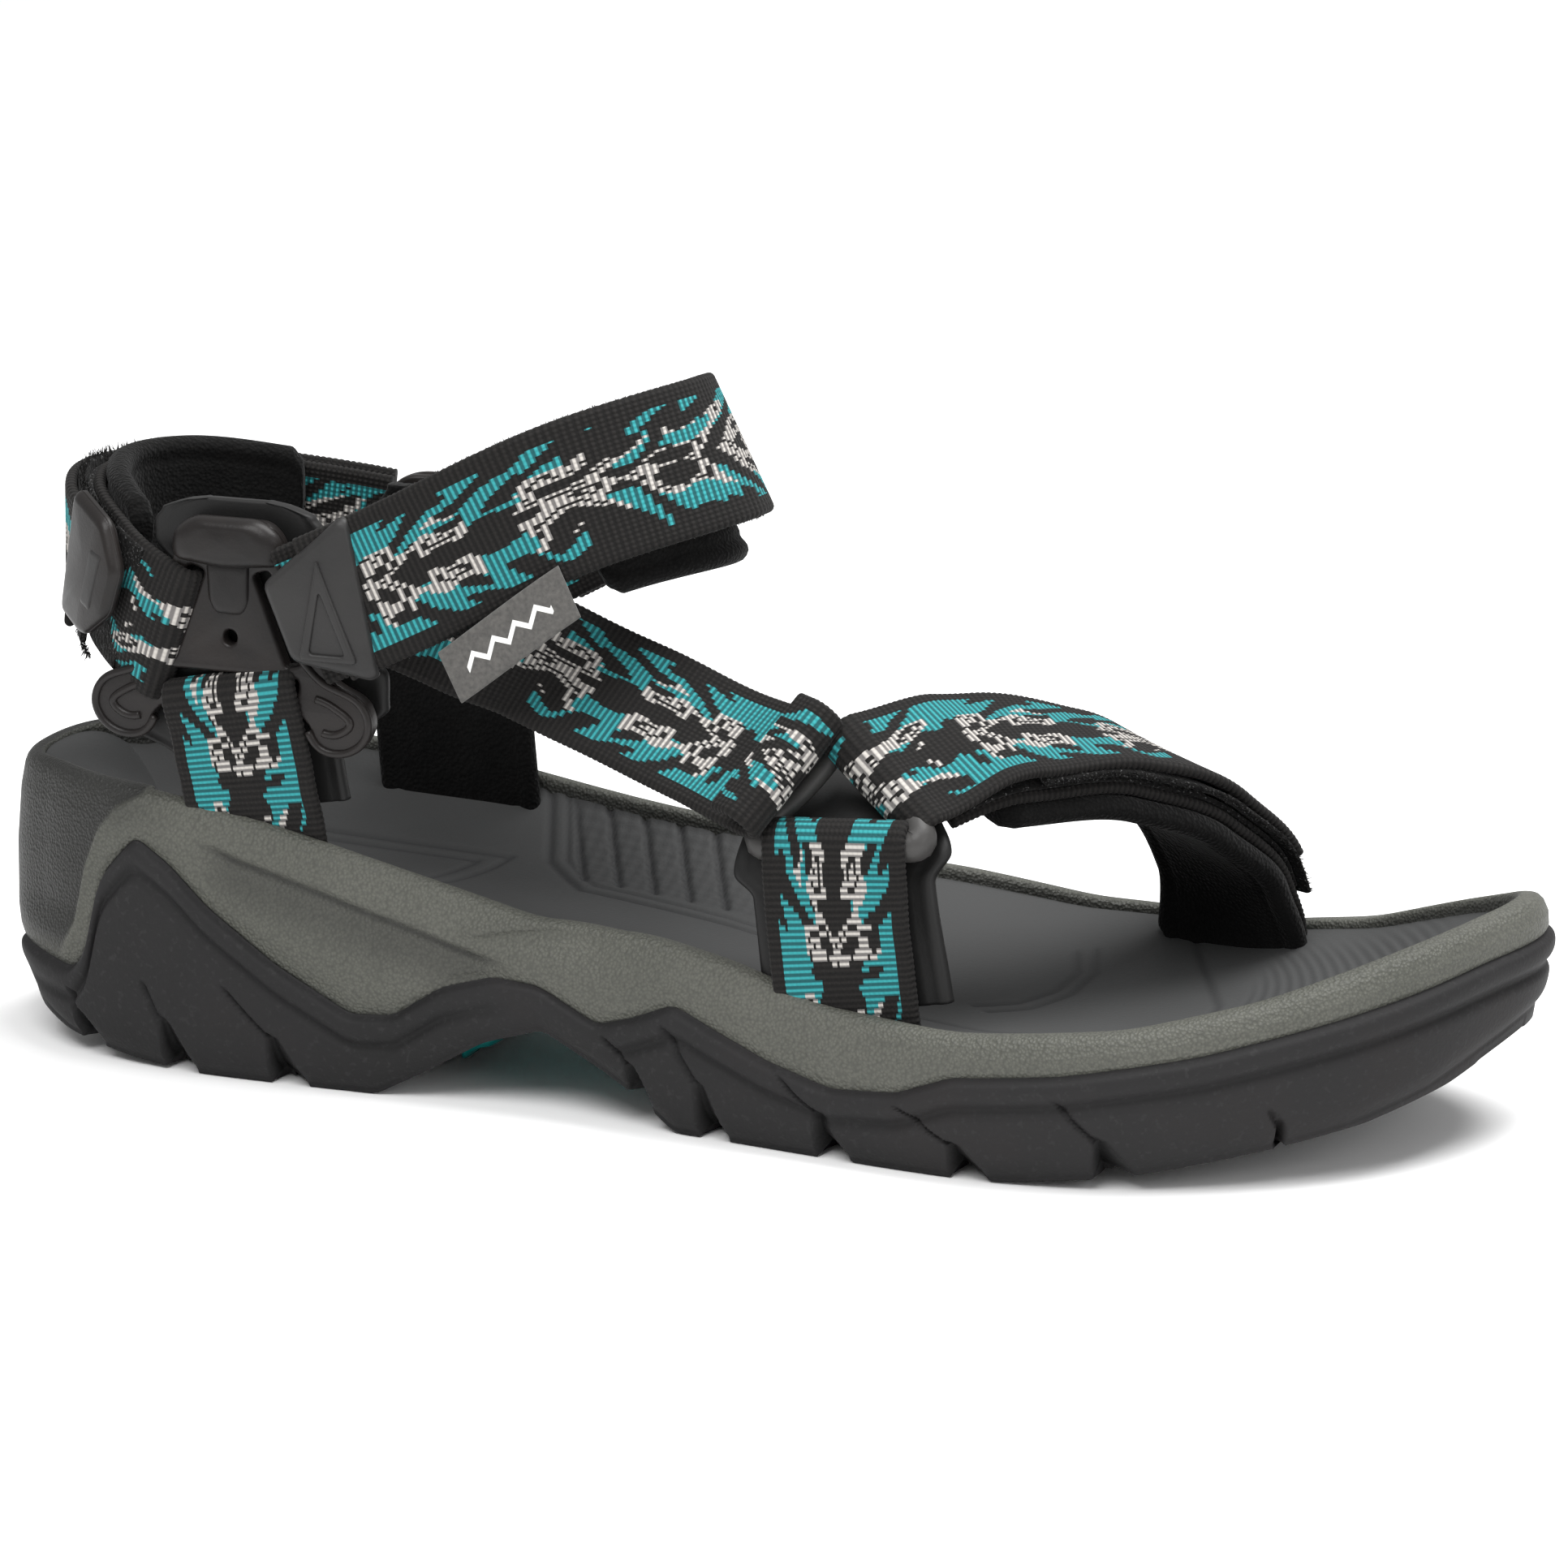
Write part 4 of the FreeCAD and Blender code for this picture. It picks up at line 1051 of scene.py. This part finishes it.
# Anchors and their linings.
webbing("heel_anchor_web_lateral", OUTER_ANCHOR, 0.0, 1.25, 0, "root", "heel_anchor_strap_lateral",
        bend=ripple(7))
webbing("heel_anchor_web_medial", INNER_ANCHOR, 0.0, 1.0, 0, "root", "heel_anchor_strap_medial")
webbing("toe_anchor_web", TOE_ANCHOR, 0.0, 1.30, 0, "root", "toe_anchor_strap", bend=ripple(8))
for name, route, thick, widths, material, bead, node in [
        ("heel_backing_lateral", OUTER_LINING, 2.0,
         [(0.0, 31), (0.18, 31), (0.31, 51), (0.42, 52), (0.62, 28), (0.78, 24), (0.86, 31),
          (0.92, 31), (0.96, 28), (0.985, 22), (1.0, 12)], "backing", 0.35, "heel_link_backing_lateral"),
        ("heel_backing_medial", INNER_LINING, 3.0, [(0.0, 30), (0.5, 30), (0.9, 26), (1.0, 20)],
         "lining", 0.12, "heel_link_backing_medial"),
        ("toe_backing", TOE_LINING, 2.0, [(0.0, 33), (0.45, 32), (0.55, 38), (0.75, 33), (1.0, 20)],
         "backing", 0.3, "toe_link_backing")]:
    settle(ribbon(name, route, 0.0, 1.0, 0, thick, widths, material, bead=bead, step=0.5, points=40),
           "root", "padded_lining", node)


# ------------------------------------------------------------------ moulded pieces
FLAT = ((0, 0, 0), (1, 0, 0), (0, 1, 0))   # origin, x and y directions of a flat piece


def round_corners(points, radius, steps=5):
    """Closed outline with each corner rounded."""
    points = np.array(points, float)
    result = []
    for before, p, after in zip(np.roll(points, 1, axis=0), points, np.roll(points, -1, axis=0)):
        a, b = before - p, after - p
        reach = min(radius, np.linalg.norm(a) * 0.45, np.linalg.norm(b) * 0.45)
        start, end = p + unit(a) * reach, p + unit(b) * reach
        for t in np.linspace(0, 1, steps):
            result.append(tuple((1 - t) ** 2 * start + 2 * t * (1 - t) * p + t * t * end))
    return result


def plate(name, loops, thick, bevel, material, place=FLAT):
    """Flat plate with holes and rounded edges, from closed loops in its own plane."""
    curve = bpy.data.curves.new(name + "_curve", "CURVE")
    curve.dimensions = "2D"
    curve.fill_mode = "BOTH"
    curve.extrude = (thick / 2 - bevel) * MM
    curve.bevel_depth = bevel * MM
    curve.bevel_resolution = 3
    curve.offset = -bevel * MM
    for loop in loops:
        line = curve.splines.new("POLY")
        line.points.add(len(loop) - 1)
        for point, (x, y) in zip(line.points, loop):
            point.co = (x * MM, y * MM, 0, 1)
        line.use_cyclic_u = True
    holder = place_object(name + "_holder", curve)
    bpy.context.view_layer.update()
    mesh = bpy.data.meshes.new_from_object(holder.evaluated_get(
        bpy.context.evaluated_depsgraph_get()))
    bpy.data.objects.remove(holder)
    mesh.materials.clear()
    mesh.materials.append(MATERIALS[material])
    mesh.name = name
    origin, x_way, y_way = (np.array(v, float) for v in place)
    obj = place_object(name, mesh)
    move_points(obj, lambda p: origin + p @ np.array([x_way, y_way, np.cross(x_way, y_way)]))
    weld(obj, 1e-6)
    obj.data.polygons.foreach_set("use_smooth", np.ones(len(obj.data.polygons), bool))
    obj.data.set_sharp_from_angle(angle=math.radians(35))
    return obj


def move_points(obj, change):
    """Moves every vertex to change(positions), in millimetres."""
    points = np.empty(len(obj.data.vertices) * 3)
    obj.data.vertices.foreach_get("co", points)
    placed = change(points.reshape(-1, 3) / MM)
    obj.data.vertices.foreach_set("co", (placed * MM).ravel())
    obj.data.update()


def dome(name, outline, height, base_z, material, place=FLAT, flat_share=0.55):
    """Raised pillow over an outline: round shoulders up to a gently crowned top."""
    outline = np.array(outline, float)
    centre = outline.mean(axis=0)
    origin, x_way, y_way = (np.array(v, float) for v in place)
    z_way = np.cross(x_way, y_way)
    levels = [(1.0, -0.2)]
    levels += [(1 - (1 - flat_share) * (1 - math.cos(a)), math.sin(a))
               for a in np.linspace(0, math.pi / 2, 14)]
    levels += [(flat_share * s, 1.0 + 0.10 * (1 - s * s)) for s in (0.75, 0.5, 0.25, 0.02)]
    rows = []
    for scale, lift in levels:
        flat = centre + (outline - centre) * scale
        rows.append(origin + flat[:, :1] * x_way + flat[:, 1:] * y_way + (base_z + height * lift) * z_way)
    return lofted(name, rows, material)


def mirrored(points):
    return points + [(-x, y) for x, y in reversed(points)]


def join(name, objects):
    """One object from several that share a material."""
    work = bmesh.new()
    for obj in objects:
        work.from_mesh(obj.data)
    mesh = bpy.data.meshes.new(name)
    work.to_mesh(mesh)
    work.free()
    mesh.materials.append(objects[0].data.materials[0])
    for obj in objects:
        bpy.data.objects.remove(obj)
    return place_object(name, mesh)


def tube(name, points, radii, material, sides=16, closed=True):
    """Round bar along points with its own radius at each."""
    curve = Spline(points, closed)
    shares = np.linspace(0, 1, len(points) * 8, endpoint=not closed)
    centre, slope = curve.at(shares)
    size = np.interp(shares, curve.t, list(radii) + radii[:1] * closed)[:, None, None]
    tangent = unit(slope)
    first, second, third = (np.array(p) for p in points[:3])
    u = unit(np.cross(tangent, np.cross(second - first, third - first)))[:, None]
    v = np.cross(tangent, u[:, 0])[:, None]
    angles = np.linspace(0, 2 * math.pi, sides, endpoint=False)[:, None]
    rows = centre[:, None] + size * (u * np.cos(angles) + v * np.sin(angles))
    return lofted(name, rows, material, "joined" if closed else "capped")


# Heel guide, right halves, relative to the moulding hole.
GUIDE = [(7.5, 20.6), (10.4, 17.5), (10.4, 13.6), (18.5, -6), (25.5, -9), (27, -13.5),
         (24, -18.6), (16.5, -19.2), (14.2, -12.6)]
SIDE_SLOT = [(4.5, 11.4), (7.6, 12.3), (13.7, -3.6), (10.6, -4.6)]
LOW_SLOT = [(-12.8, -6.3), (12.8, -6.3), (12.8, -9.0), (-12.8, -9.0)]
WING_RIDGE = [(13.4, -2.5), (18.2, -6.8), (24.4, -9.6), (26.0, -13.4), (23.4, -17.6), (17.2, -18.2),
              (14.6, -15.2)]
WING_RIDGE_INNER = [(16.2, -9.4), (20.6, -11.2), (22.6, -13.2), (20.8, -15.0), (17.4, -15.2)]
GUIDE_THICK = 3.0
HOLE_RADIUS = 1.3
GUIDE_TOP = 10    # height above which crown lowers the plate


def heel_guide(name, hole, forward, node, crown=1.0):
    """Guide plate; crown under 1 lowers the part of it above the slots."""
    hole = np.array(hole)
    x_way = unit(forward) * -np.sign(hole[1])
    y_way = np.array([0.0, 0.0, 1.0])
    outward = np.cross(x_way, y_way)
    place = (hole, x_way, y_way)
    front = GUIDE_THICK / 2 - 0.4

    def low(points):
        return [(x, min(y, GUIDE_TOP) + max(y - GUIDE_TOP, 0) * crown) for x, y in points]

    turns = np.linspace(0, 2 * math.pi, 20, endpoint=False)
    loops = [round_corners(low(mirrored(GUIDE)), 3.0), round_corners(SIDE_SLOT, 1.0),
             round_corners([(-x, y) for x, y in SIDE_SLOT], 1.0), round_corners(LOW_SLOT, 1.0),
             [(HOLE_RADIUS * math.cos(a), HOLE_RADIUS * math.sin(a)) for a in turns]]
    cap = round_corners([(10.6, 13.2), (10.4, 18.0), (6.5, 21.0), (-6.5, 21.0), (-10.4, 18.0),
                         (-10.6, 13.2), (0, 12.0)], 4.0, 8)
    neck = round_corners(mirrored([(4.2, 14.0), (3.9, 6.5), (2.6, 4.0)]), 2.0, 6)
    parts = [plate(name + "_plate", loops, GUIDE_THICK, 0.7, "guide", place),
             dome(name + "_cap", low(cap), 2.6, front, "guide", place),
             dome(name + "_neck", neck, 1.3, front, "guide", place)]
    for sign in (-1, 1):
        for ridge in (WING_RIDGE, WING_RIDGE_INNER):
            line = [hole + x_way * sign * x + y_way * y + outward * (GUIDE_THICK / 2 - 0.1)
                    for x, y in ridge]
            parts.append(tube(name + "_ridge", line, [0.75] * len(line), "guide", 12, closed=False))
    settle(join(name, parts), "root", "moulded_plastic", node)


heel_guide("heel_guide_lateral", (-84.5, -28.0, 78.4), (1, -0.06, 0), "heel_link_lateral")
heel_guide("heel_guide_medial", (-66.0, 28.0, 80.0), (1, 0.06, 0), "heel_link_medial", crown=0.6)


def ring_points():
    """Three bars with rounded corners; the two lower corners swell into knobs."""
    points, radii = [], []
    corners = [np.array(p) for p in ((12.2, -36.8, 51.8), (42.4, -35.8, 53.8), (26.4, -22.5, 69.3))]
    for i, corner in enumerate(corners):
        before, after = corners[i - 1], corners[(i + 1) % 3]
        swell = 3.0 if i < 2 else 1.9
        for target, share, radius in [(before, 0.30, 1.7), (before, 0.11, swell * 0.92),
                                      ((before + after) / 2, 0.07, swell),
                                      (after, 0.11, swell * 0.92), (after, 0.30, 1.7)]:
            points.append(corner + (target - corner) * share)
            radii.append(radius)
    return points, radii


settle(tube("toe_ring", *ring_points(), "ring"), "root", "moulded_plastic", "toe_link")


def wrap(obj, route, share0, offset, slide=0.0):
    """Lays a flat piece (x along, y across, z out) on a route."""
    def place(p):
        point, side, normal, _ = route.frame(share0 + p[:, 0] / route.length)
        return point + side * (p[:, 1:2] + slide) + normal * (offset + p[:, 2:])

    move_points(obj, place)
    return obj


TIP_OFFSET = HOOK + HOOK_THICK / 2 + GAP + 1.5
TAB_SHARE = 0.165
TAB_SLIDE = -3.5


def pull_tip(name, outline, thick, flat_share, material, *spot):
    """Outer and inner half of a moulded pull tip, laid on a route at spot."""
    outline = round_corners(outline, 1.6)
    return [wrap(dome(name + "_out", outline, thick, 0, material, flat_share=flat_share), *spot),
            wrap(dome(name + "_in", outline, -1.5, 0.2, material, flat_share=flat_share), *spot)]


# Instep tip: a blunt triangle with a raised triangle on it.
parts = pull_tip("tip", [(-1.9, -6.0), (-1.2, 8.0), (16.0, 13.4), (17.2, 12.4), (11.2, -14.0),
                         (9.6, -14.2)], 1.7, 0.86, "tip", INSTEP, 0.0, TIP_OFFSET)
triangle = [round_corners([(0.0, -6.2), (9.6, 8.6), (9.0, -10.8)], 1.2),
            round_corners([(2.0, -5.8), (7.8, 3.2), (7.5, -8.6)], 0.8)]
parts.append(wrap(plate("tip_rim", triangle, 1.4, 0.5, "tip"), INSTEP, 0.0, TIP_OFFSET + 1.75))
settle(join("instep_tip", parts), "instep_flap_body", "moulded_plastic", "instep_flap_tip")

# Heel tab: six-sided, with a paler raised bar.
spot = (HEEL, TAB_SHARE, TIP_OFFSET, TAB_SLIDE)
parts = pull_tip("tab", [(-8.6, 4.2), (-8.6, -4.2), (-3.0, -11.2), (7.4, -12.0), (7.4, 12.0),
                         (-3.0, 11.2)], 1.9, 0.84, "guide", *spot)
settle(join("heel_tab", parts), "heel_flap_body", "moulded_plastic", "heel_flap_tip")
bar = round_corners([(-4.8, 5.4), (-4.8, -5.4), (-1.6, -5.4), (-1.6, 5.4)], 0.6, 4)
settle(wrap(dome("heel_tab_bar", bar, 0.5, 1.7, "tip", flat_share=0.8), *spot), "heel_flap_body",
       "moulded_plastic")

# Label across the lower edge of the instep flap; its zigzag is measured from its start.
LABEL_START = 0.155
label = ribbon("label_cloth", INSTEP, LABEL_START, 0.32, FLAP + WEB_THICK / 2 + 1.05, 1.0, 9.5,
               "label", slide=(-19.0, -14.5), step=0.4)
for corner in label.data.uv_layers["UVMap"].data:
    corner.uv.x -= LABEL_START * INSTEP.length * 0.01
settle(label, "instep_flap_body", "label_cloth", "instep_label")


# ------------------------------------------------------------------ stage
def aim_at(obj, place, target):
    obj.location = place
    obj.rotation_euler = (Vector(target) - Vector(place)).to_track_quat("-Z", "Y").to_euler()


def build_floor():
    size = 6.0
    mesh = bpy.data.meshes.new("floor")
    mesh.from_pydata([(-size, -size, 0), (size, -size, 0), (size, size, 0), (-size, size, 0)], [],
                     [(0, 1, 2, 3)])
    shader = Shader("floor_paper", 0.9, specular=0.1)
    tone = shader.noise(shader.coords(), 3, 2)
    shader.color(shader.ramp(tone, [(0.3, (0.935, 0.935, 0.935)), (0.7, (0.95, 0.95, 0.95))]))
    mesh.materials.append(shader.material)
    place_object("floor", mesh)


def build_lights():
    world = bpy.data.worlds.new("studio")
    bpy.context.scene.world = world
    world.use_nodes = True
    background = world.node_tree.nodes["Background"]
    background.inputs["Color"].default_value = (1, 1, 1, 1)
    background.inputs["Strength"].default_value = 0.5
    for name, place, aim, width, power in [
            ("key", (-0.15, -1.0, 1.5), (0, 0, 0.05), 1.1, 22),
            ("top", (0.45, 0.3, 1.6), (0.05, 0, 0.05), 1.2, 32),
            ("side", (1.3, -0.8, 0.7), (0, 0, 0.05), 0.9, 5)]:
        lamp = bpy.data.lights.new(name, "AREA")
        lamp.energy = power
        lamp.shape = "DISK"
        lamp.size = width
        aim_at(place_object(name, lamp), place, aim)


def build_camera():
    camera = bpy.data.cameras.new("camera")
    camera.sensor_width = 36
    camera.lens = 158.76
    obj = place_object("camera", camera)
    aim_at(obj, (0.3684, -1.0914, 0.3508), (0.0079, -0.0071, 0.0546))
    bpy.context.scene.camera = obj


build_floor()
build_lights()
build_camera()
bpy.context.scene.view_settings.view_transform = "Standard"
bpy.context.view_layer.update()
